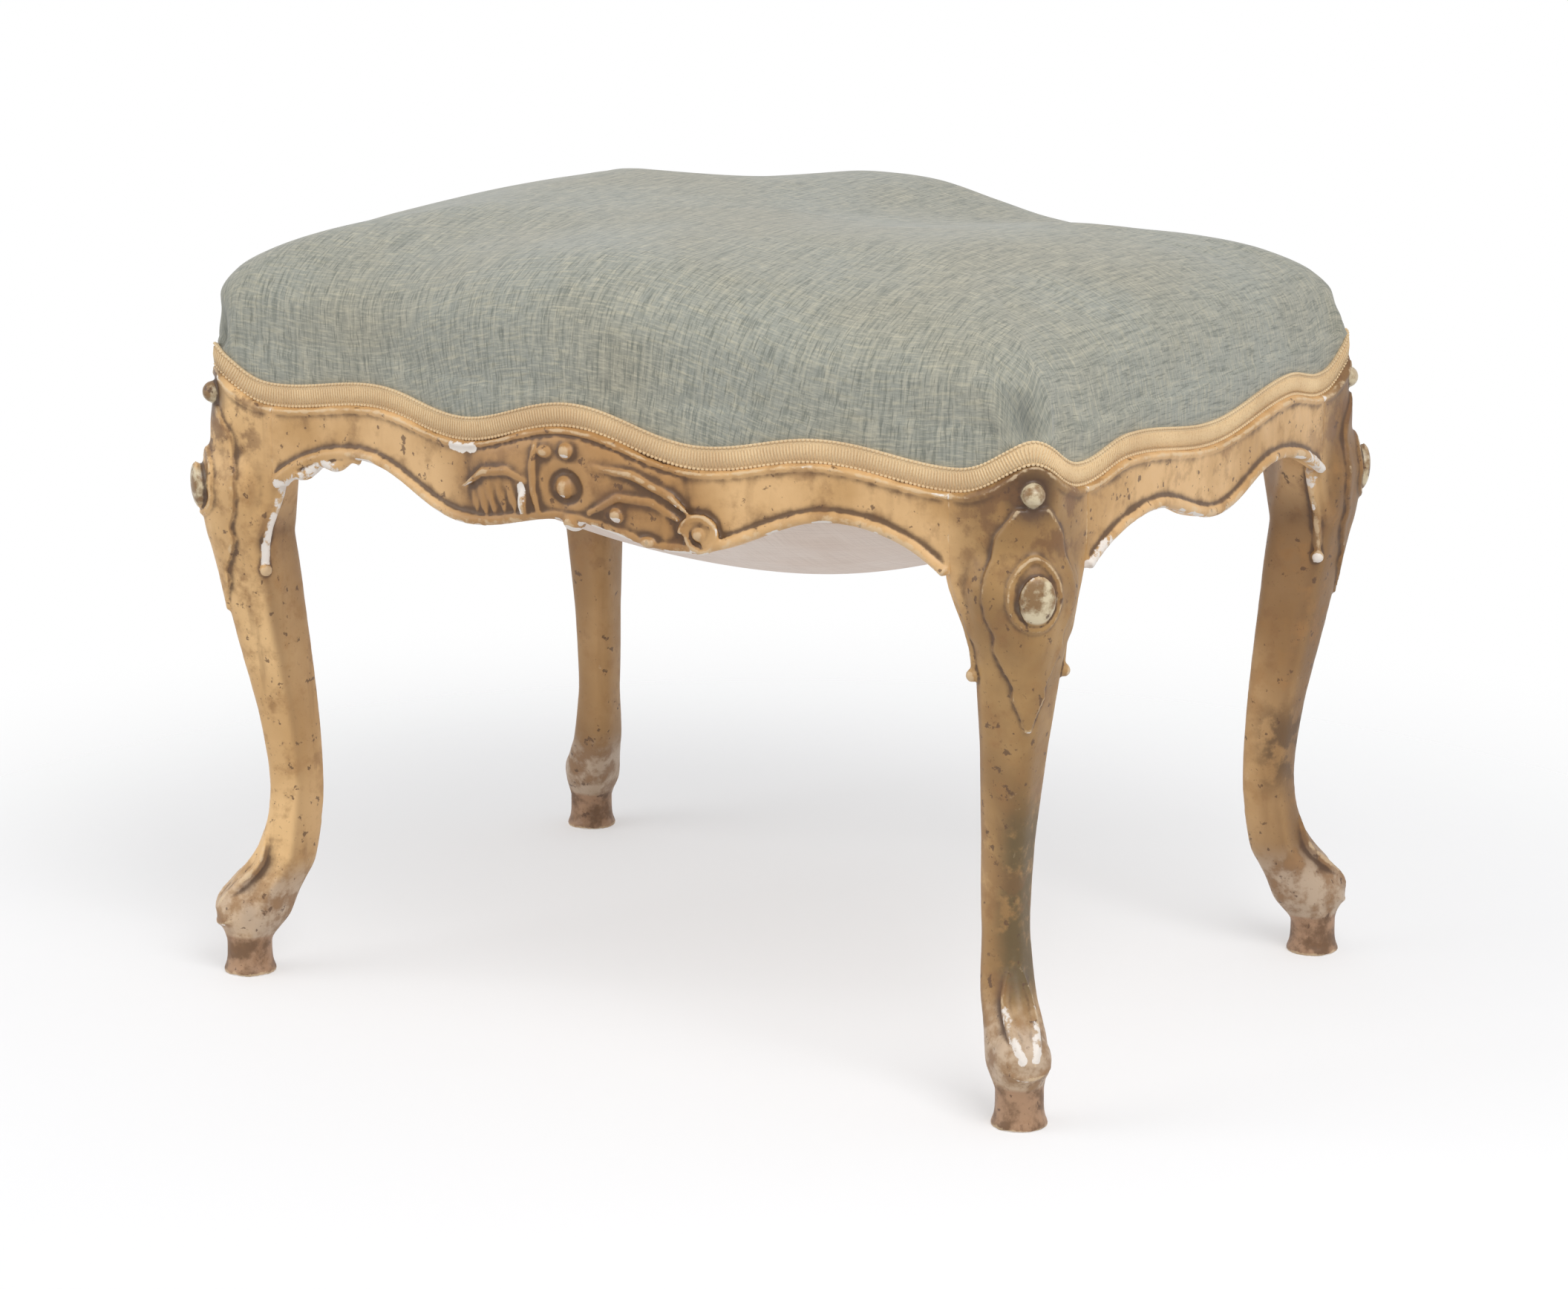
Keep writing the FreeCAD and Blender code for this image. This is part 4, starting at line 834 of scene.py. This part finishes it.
# Bottom cloth: thin pale linen tacked under the rails, sagging with the webbing,
# with small pulls from its edge
linen, linen_shader, spot = new_material("bottom_linen")
threads = spot.stretched(1, 0.03, 0.03).noise(1100, 1) + spot.stretched(0.03, 1, 0.03).noise(1100, 1)
stain = spot.noise(7, 4, 0.6)
colour = stain.step(0.35, 0.7).mix(paint(236, 224, 214), paint(226, 209, 196))
colour = (threads.step(0.9, 1.2) * 0.25).mix(colour, paint(196, 178, 164))
finish_with(linen_shader, colour=colour, bump=threads, strength=0.15, Roughness=0.95)
columns, rows = 141, 101
points = []
for y in np.linspace(-half_deep, half_deep, rows):
    for x in np.linspace(-half_long, half_long, columns):
        rim_share = max(abs(x) / half_long, abs(y) / half_deep)
        pull = 0.0009 * math.sin(x * 190) * math.sin(y * 230 + 1) * rim_share ** 4
        droop = 0.0005 * (1 + math.sin(x * 31 + y * 17)) * (1 - rim_share)
        points.append((x, y, dish(x, y, 0.3482, 0.0872) + pull - droop))
# The corners are cut off behind the legs
corner_cut = LEG.x - LEG.y - (0.051 + 0.004 * math.sqrt(2))
faces = []
for first, second, third, fourth in grid_faces(rows, columns):
    middle = np.mean([points[index] for index in (first, fourth, third, second)], axis=0)
    if abs(middle[0]) + abs(middle[1]) < corner_cut:
        faces.append([first, fourth, third, second])
cloth = new_piece("linen_bottom", points, faces)
trimmed = bmesh.new()
trimmed.from_mesh(cloth.data)
loose_ends = [vertex for vertex in trimmed.verts if not vertex.link_faces]
bmesh.ops.delete(trimmed, geom=loose_ends, context="VERTS")
cloth_area = sum(face.calc_area() for face in trimmed.faces)
trimmed.to_mesh(cloth.data)
trimmed.free()
cloth.data.materials.append(linen)
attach(cloth, "root")
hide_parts("bottom_cloth")


# Seat: a linen cover over hair stuffing, crowned in the middle and worn down along its back edge,
# drawn tight, tacked to the rails under the braid and pleated above each ear
def quarter_plan(offset):
    """The seat's outline from the front centre to the middle of the right side."""
    bow_front, bow_end, bow_depth = -0.2417, -0.2127, 0.029
    corner_x, corner_y = 0.2715, -0.1887
    side_bow = 0.0045
    radius = (front_half ** 2 + bow_depth ** 2) / (4 * bow_depth)
    line = []
    for x in np.linspace(0, front_half, 60, endpoint=False):
        if x < front_half / 2:
            line.append((x, bow_front - offset + radius - math.sqrt(radius ** 2 - x ** 2)))
        else:
            line.append((x, bow_end - offset - radius + math.sqrt(radius ** 2 - (front_half - x) ** 2)))
    line += [(x, bow_end - offset) for x in np.linspace(front_half, corner_x, 10, endpoint=False)]
    corner_radius = 0.024 + offset
    for turn in np.linspace(-math.pi / 2, 0, 24, endpoint=False):
        line.append((corner_x + corner_radius * math.cos(turn), corner_y + corner_radius * math.sin(turn)))
    line += [(0.2955 + offset, y) for y in np.linspace(corner_y, -side_half, 10, endpoint=False)]
    bow = (side_half ** 2 + side_bow ** 2) / (2 * side_bow)
    for y in np.linspace(-side_half, 0, 40):
        line.append((0.300 + offset - bow + math.sqrt(bow ** 2 - y ** 2), y))
    return np.array(line)


def closed_plan(offset, count):
    """The whole outline at equal steps from the front centre, anticlockwise, and its outward directions."""
    quarter = quarter_plan(offset)
    half = np.vstack([quarter, quarter[-2::-1] * (1, -1)])
    loop = np.vstack([half, half[-2:0:-1] * (-1, 1)])
    loop = np.vstack([loop, loop[:1]])
    reach = np.concatenate([[0], np.cumsum(np.linalg.norm(np.diff(loop, axis=0), axis=1))])
    steps = np.linspace(0, reach[-1], count, endpoint=False)
    line = np.column_stack([np.interp(steps, reach, loop[:, axis]) for axis in (0, 1)])
    ahead = np.roll(line, -1, axis=0) - np.roll(line, 1, axis=0)
    ahead /= np.linalg.norm(ahead, axis=1)[:, None]
    return line, np.column_stack([ahead[:, 1], -ahead[:, 0]]), reach[-1]


def edge_height(x, y):
    """The height of the wood's show edge at a point of the outline."""
    x, y = abs(x), abs(y)
    if x < front_half:
        return wave_height(x, show_edge)
    if y < side_half:
        return wave_height(y, side_edge)
    return ear_height((x - LEG.x) - (y + LEG.y))


around_count, up_count, hidden_count = 480, 66, 4
cover_inset = -0.0045
plan, outward, girth = closed_plan(cover_inset, around_count)
half_x, half_y = 0.2910, 0.2082
# From the tacks up: how far the cover lies inside the plan, its share of the rise and of the crest
profile = np.array([(0, 0, 0), (-0.0012, 0.18, 0.25), (-0.0004, 0.38, 0.65), (0.009, 0.60, 1),
                    (0.034, 0.78, 0.95), (0.080, 0.91, 0.5), (0.135, 1, 0), (half_y, 1.0, 0)])


def smooth_through(knots, values, places):
    """A smooth curve through the values at the knots, with no overshoot."""
    gaps = np.diff(knots)
    slopes = np.diff(values) / gaps
    tangents = np.zeros(len(knots))
    tangents[0], tangents[-1] = slopes[0], slopes[-1]
    for index in range(1, len(knots) - 1):
        if slopes[index - 1] * slopes[index] > 0:
            tangents[index] = 2 / (1 / slopes[index - 1] + 1 / slopes[index])
    index = np.clip(np.searchsorted(knots, places, side="right") - 1, 0, len(gaps) - 1)
    gap = gaps[index]
    t = (places - knots[index]) / gap
    start, end = values[index], values[index + 1]
    leave, arrive = tangents[index] * gap, tangents[index + 1] * gap
    return ((2 * t ** 3 - 3 * t ** 2 + 1) * start + (t ** 3 - 2 * t ** 2 + t) * leave
            + (3 * t ** 2 - 2 * t ** 3) * end + (t ** 3 - t ** 2) * arrive)


knots = np.array([0, 0.12, 0.24, 0.38, 0.52, 0.70, 0.86, 1.0])
levels = np.linspace(0, 1, up_count)
insets, rises, crests = (smooth_through(knots, profile[:, part], levels) for part in range(3))
# The seat has sunk along its back edge, most of all right of the crest
sunk_at = np.array([-0.30, -0.06, -0.03, -0.005, 0.04, 0.073, 0.10, 0.13, 0.17, 0.22, 0.30])
sunk_by = np.array([0, 0, 0.003, 0.0065, 0.0155, 0.0182, 0.0165, 0.0125, 0.009, 0.0068, 0.0065])
across_seat = np.linspace(-0.30, 0.30, 241)
sunk_line = smooth_through(sunk_at, sunk_by, across_seat)
tack_line = 0.404
crown_rise = 0.080
crest_rise, crest_span = 0.014, 0.190
pleat_depth = 0.0075
total = up_count + hidden_count
grid = np.empty((total, around_count, 3))
pleat_shade = np.zeros((total, around_count))
corner_at = [np.argmin(np.linalg.norm(plan - (sx * 0.2839, sy * 0.2011), axis=1))
             for sx, sy in ((1, -1), (1, 1), (-1, 1), (-1, -1))]
column_width = girth / around_count
for column, ((x, y), (nx, ny)) in enumerate(zip(plan, outward)):
    low = edge_height(x, y) + 0.004
    gaps = [(column - at + around_count / 2) % around_count - around_count / 2 for at in corner_at]
    aside = min(gaps, key=abs) * column_width
    for row in range(hidden_count):
        grid[row, column] = (x, y, low + (tack_line - low) * row / hidden_count)
    swell = crest_rise * (1 + math.cos(math.pi * min(1, abs(x) / crest_span))) / 2
    corner_fall = 0.001 if x < 0 and y < 0 else 0.006
    swell -= corner_fall * (x / half_x * y / half_y) ** 2
    for row in range(up_count):
        inset, rise, crest = insets[row], rises[row], crests[row]
        z = tack_line + crown_rise * rise + crest * swell
        # The pleat, the ridge on each side of it, and the pull of the tacks
        fade = math.exp(-((z - 0.414) / 0.016) ** 2)
        up = max(0, z - 0.402)
        dent = pleat_depth * math.exp(-(aside / (0.0065 + 0.15 * up)) ** 2) * fade
        ridge = 0.0026 * math.exp(-((abs(aside) - 0.011 - 0.4 * up) / 0.0045) ** 2) * fade
        tacks = 0.0005 * math.cos(column * 2 * math.pi / 8) * math.exp(-(z - 0.400) / 0.012)
        push = ridge - dent + tacks
        place = np.array([x * (1 - inset / half_x), y * (1 - inset / half_y)])
        # The wear: the back edge has sunk and the right end is drawn in
        towards_back = wave_height(place[1], [(-0.08, 0), (0.13, 1)])
        z -= rise * (np.interp(place[0], across_seat, sunk_line) * towards_back)
        drawn_in = math.sin(math.pi / 2 * min(1, rise / 0.8))
        place[0] -= 0.0100 * drawn_in * wave_height(x, [(0.16, 0), (0.28, 1)])
        place += np.array([nx, ny]) * push * min(1, 40 * (0.04 - min(inset, 0.04)))
        grid[hidden_count + row, column] = (*place, z)
        # The pleat's depth, kept to paint shade into the pleats
        pleat_shade[hidden_count + row, column] = dent / pleat_depth


# A coarse copy of the cover, a little too small and held at the braid, is blown taut as cloth,
# and its movement is carried over to the fine cover
coarse = grid[::2, ::4]
shrunk = 0.997
slack = coarse * (shrunk, shrunk, 1)
slack[..., 2] -= 0.01 * np.maximum(0, slack[..., 2] - tack_line)
tall, wide = slack.shape[:2]
held_rows = 3
loose = new_piece("slack_cover", slack.reshape(-1, 3), ring_faces(tall, wide))
held = loose.vertex_groups.new(name="held")
held.add(list(range(wide * held_rows)), 1, "ADD")
blown = loose.modifiers.new("blown", "CLOTH")
blown.settings.vertex_group_mass = "held"
blown.settings.quality = 5
blown.settings.bending_stiffness = 0.5
blown.settings.use_pressure = True
blown.settings.uniform_pressure_force = 4
blown.settings.effector_weights.gravity = 0
settled = 20
for moment in range(1, settled + 1):
    scene.frame_set(moment)
taut = points_of(loose.evaluated_get(bpy.context.evaluated_depsgraph_get()).data).reshape(tall, wide, 3)
bpy.data.objects.remove(loose)
scene.frame_set(1)
moved = taut - coarse
farthest = 0.002
moved *= np.minimum(1, farthest / np.maximum(np.linalg.norm(moved, axis=2), 1e-9))[..., None]
moved[:held_rows] = 0
closed_moved = np.concatenate([moved, moved[:, :1]], axis=1)
for axis in range(3):
    wider = np.array([np.interp(np.arange(around_count) / 4, np.arange(wide + 1), line)
                      for line in closed_moved[..., axis]])
    taller = [np.interp(np.arange(total) / 2, np.arange(tall), line) for line in wider.T]
    grid[..., axis] += np.array(taller).T
# The cloth's own coordinates: flat on top, and unrolled down the wall from where the seat turns over
cloth_u = np.empty(grid.shape[:2])
cloth_v = np.empty(grid.shape[:2])
turn_row = hidden_count + int(np.searchsorted(insets, 0.034))
lengths = np.linalg.norm(np.diff(grid, axis=0), axis=2)
for column, (nx, ny) in enumerate(outward):
    drop = np.concatenate([np.cumsum(lengths[:turn_row, column][::-1])[::-1], [0]])
    base = grid[turn_row, column]
    wall = grid[:turn_row + 1, column]
    slide = (wall[:, 1] - base[1]) * nx - (wall[:, 0] - base[0]) * ny
    cloth_u[:turn_row + 1, column] = base[0] + nx * drop - ny * slide
    cloth_v[:turn_row + 1, column] = base[1] + ny * drop + nx * slide
    cloth_u[turn_row + 1:, column] = grid[turn_row + 1:, column, 0]
    cloth_v[turn_row + 1:, column] = grid[turn_row + 1:, column, 1]
faces = ring_faces(total, around_count)
faces.append(list(range(around_count))[::-1])
seat = new_piece("seat_cushion", grid.reshape(-1, 3), faces)
seat.data.attributes.new("pleat_shade", "FLOAT", "POINT").data.foreach_set("value", pleat_shade.ravel())
uv = seat.data.uv_layers.new(name="cloth")
corner_index = np.empty(len(seat.data.loops), dtype=np.int64)
seat.data.loops.foreach_get("vertex_index", corner_index)
cloth_uv = np.column_stack([cloth_u.ravel(), cloth_v.ravel()])
uv.data.foreach_set("uv", cloth_uv[corner_index].ravel())
closed = bmesh.new()
closed.from_mesh(seat.data)
bmesh.ops.remove_doubles(closed, verts=closed.verts, dist=0.0002)
closed.to_mesh(seat.data)
closed.free()

# The cover's cloth: slubbed linen with close warp lines along the stool's depth,
# pale slubs in the weft across it, and painted shade deep in the pleats
weave, weave_shader, spot = new_material("slub_linen")
flat = spot.node("UVMap", {}, uv_map="cloth")
warp = flat.stretched(1, 0.10, 0).noise(760, 2, 0.7)
weft = flat.stretched(0.14, 1, 0).noise(720, 2, 0.7)
yarn = flat.stretched(1, 0.07, 0).noise(410, 2)
cross = flat.stretched(0.16, 1, 0).noise(360, 2)
patch = flat.noise(7, 3)
colour = patch.step(0.35, 0.68).mix(paint(153, 155, 145), paint(154, 151, 135))
colour = (cross.step(0.50, 0.70) * 0.40).mix(colour, paint(190, 183, 157))
colour = (yarn.step(0.50, 0.68) * 0.50).mix(colour, paint(116, 120, 110))
colour = (yarn.step(0.48, 0.32) * 0.34).mix(colour, paint(194, 188, 166))
colour = (weft.step(0.48, 0.68) * 0.40).mix(colour, paint(203, 197, 174))
colour = (weft.step(0.46, 0.32) * 0.30).mix(colour, paint(112, 116, 107))
colour = (warp.step(0.50, 0.68) * 0.62).mix(colour, paint(102, 106, 97))
colour = (spot.attribute("pleat_shade") * 0.5).mix(colour, paint(98, 106, 106))
finish_with(weave_shader, colour=colour, bump=weft * 0.7 + cross * 0.5 - warp * 0.6, strength=0.5,
            distance=0.0007, Roughness=0.9, Sheen_Weight=0.25, Sheen_Roughness=0.5)
seat.data.materials.append(weave)
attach(seat, "root")
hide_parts("seat_cover", "seat_stuffing")

# Braid: a flat tape of cotton thread, glued over the tacks along the show edge,
# with fine ribs across it and a line of small loops along each edge
tape_line, tape_out, tape_length = closed_plan(cover_inset, 900)
section = [(0, 0.0), (0.0016, 0.0004), (0.0019, 0.0030), (0.0021, 0.0065), (0.0019, 0.0105), (0.0016, 0.0136),
           (0, 0.014)]
points, faces = [], []
for (x, y), (nx, ny) in zip(tape_line, tape_out):
    low = edge_height(x, y)
    for proud, high in section:
        points.append((x + nx * proud, y + ny * proud, low + high))
size = len(section)
for column in range(len(tape_line)):
    after = (column + 1) % len(tape_line)
    for index in range(size):
        following = (index + 1) % size
        faces.append([column * size + index, after * size + index,
                      after * size + following, column * size + following])
tape = new_piece("braid_tape", points, faces)
braid, braid_shader, spot = new_material("gimp_thread")
thread = spot.noise(900, 2)
tone = spot.noise(24, 4)
colour = tone.step(0.35, 0.7).mix(paint(232, 205, 162), paint(218, 189, 147))
colour = (thread.step(0.5, 0.7) * 0.35).mix(colour, paint(190, 154, 110))
finish_with(braid_shader, colour=colour, bump=thread, strength=0.4, distance=0.0005,
            Roughness=0.8, Sheen_Weight=0.2)
tape.data.materials.append(braid)
stitches = bpy.data.node_groups.new("braid_stitches", "GeometryNodeTree")
stitches.interface.new_socket("Line", in_out="INPUT", socket_type="NodeSocketGeometry")
count_input = stitches.interface.new_socket("Count", in_out="INPUT", socket_type="NodeSocketInt")
shape_input = stitches.interface.new_socket("Half sizes", in_out="INPUT", socket_type="NodeSocketVector")
thread_input = stitches.interface.new_socket("Thread", in_out="INPUT", socket_type="NodeSocketMaterial")
stitches.interface.new_socket("Stitches", in_out="OUTPUT", socket_type="NodeSocketGeometry")
given, curve, level, spread, bead, copies, solid, dyed, result = (stitches.nodes.new(kind) for kind in (
    "NodeGroupInput", "GeometryNodeMeshToCurve", "GeometryNodeSetCurveNormal", "GeometryNodeCurveToPoints",
    "GeometryNodeMeshUVSphere", "GeometryNodeInstanceOnPoints", "GeometryNodeRealizeInstances",
    "GeometryNodeSetMaterial", "NodeGroupOutput"))
level.mode = "Z_UP"
spread.mode = "COUNT"
bead.inputs["Segments"].default_value = 6
bead.inputs["Rings"].default_value = 4
for source, outlet, target, inlet in (
        (given, "Line", curve, "Mesh"), (curve, "Curve", level, "Curve"),
        (level, "Curve", spread, "Curve"), (given, "Count", spread, "Count"),
        (spread, "Points", copies, "Points"), (bead, "Mesh", copies, "Instance"),
        (spread, "Rotation", copies, "Rotation"), (given, "Half sizes", copies, "Scale"),
        (copies, "Instances", solid, "Geometry"), (solid, "Geometry", dyed, "Geometry"),
        (given, "Thread", dyed, "Material"), (dyed, "Geometry", result, "Stitches")):
    stitches.links.new(source.outputs[outlet], target.inputs[inlet])
sewn = bmesh.new()
sewn.from_mesh(tape.data)
# Ribs across the tape, then the loops along its lower and upper edges
stitch_rows = ((0.0069, 0.0019, 0.0019, (0.0011, 0.0056, 0.0007)),
               (0.0006, 0.0016, 0.0026, (0.0012, 0.0011, 0.0012)),
               (0.0134, 0.0016, 0.0026, (0.0012, 0.0010, 0.0013)))
for high, proud, pitch, half_sizes in stitch_rows:
    path = [(x + nx * proud, y + ny * proud, edge_height(x, y) + high)
            for (x, y), (nx, ny) in zip(tape_line, tape_out)]
    route = bpy.data.meshes.new("stitch_line")
    route.from_pydata(path, [(index, (index + 1) % len(path)) for index in range(len(path))], [])
    runner = bpy.data.objects.new("stitch_line", route)
    scene.collection.objects.link(runner)
    setting = runner.modifiers.new("stitches", "NODES")
    setting.node_group = stitches
    setting[count_input.identifier] = int(tape_length / pitch)
    setting[shape_input.identifier] = half_sizes
    setting[thread_input.identifier] = braid
    laid = bpy.data.meshes.new_from_object(runner.evaluated_get(bpy.context.evaluated_depsgraph_get()))
    sewn.from_mesh(laid)
    bpy.data.objects.remove(runner)
sewn.to_mesh(tape.data)
sewn.free()
tape.data.shade_smooth()
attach(tape, "root")
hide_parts("gimp_braid")
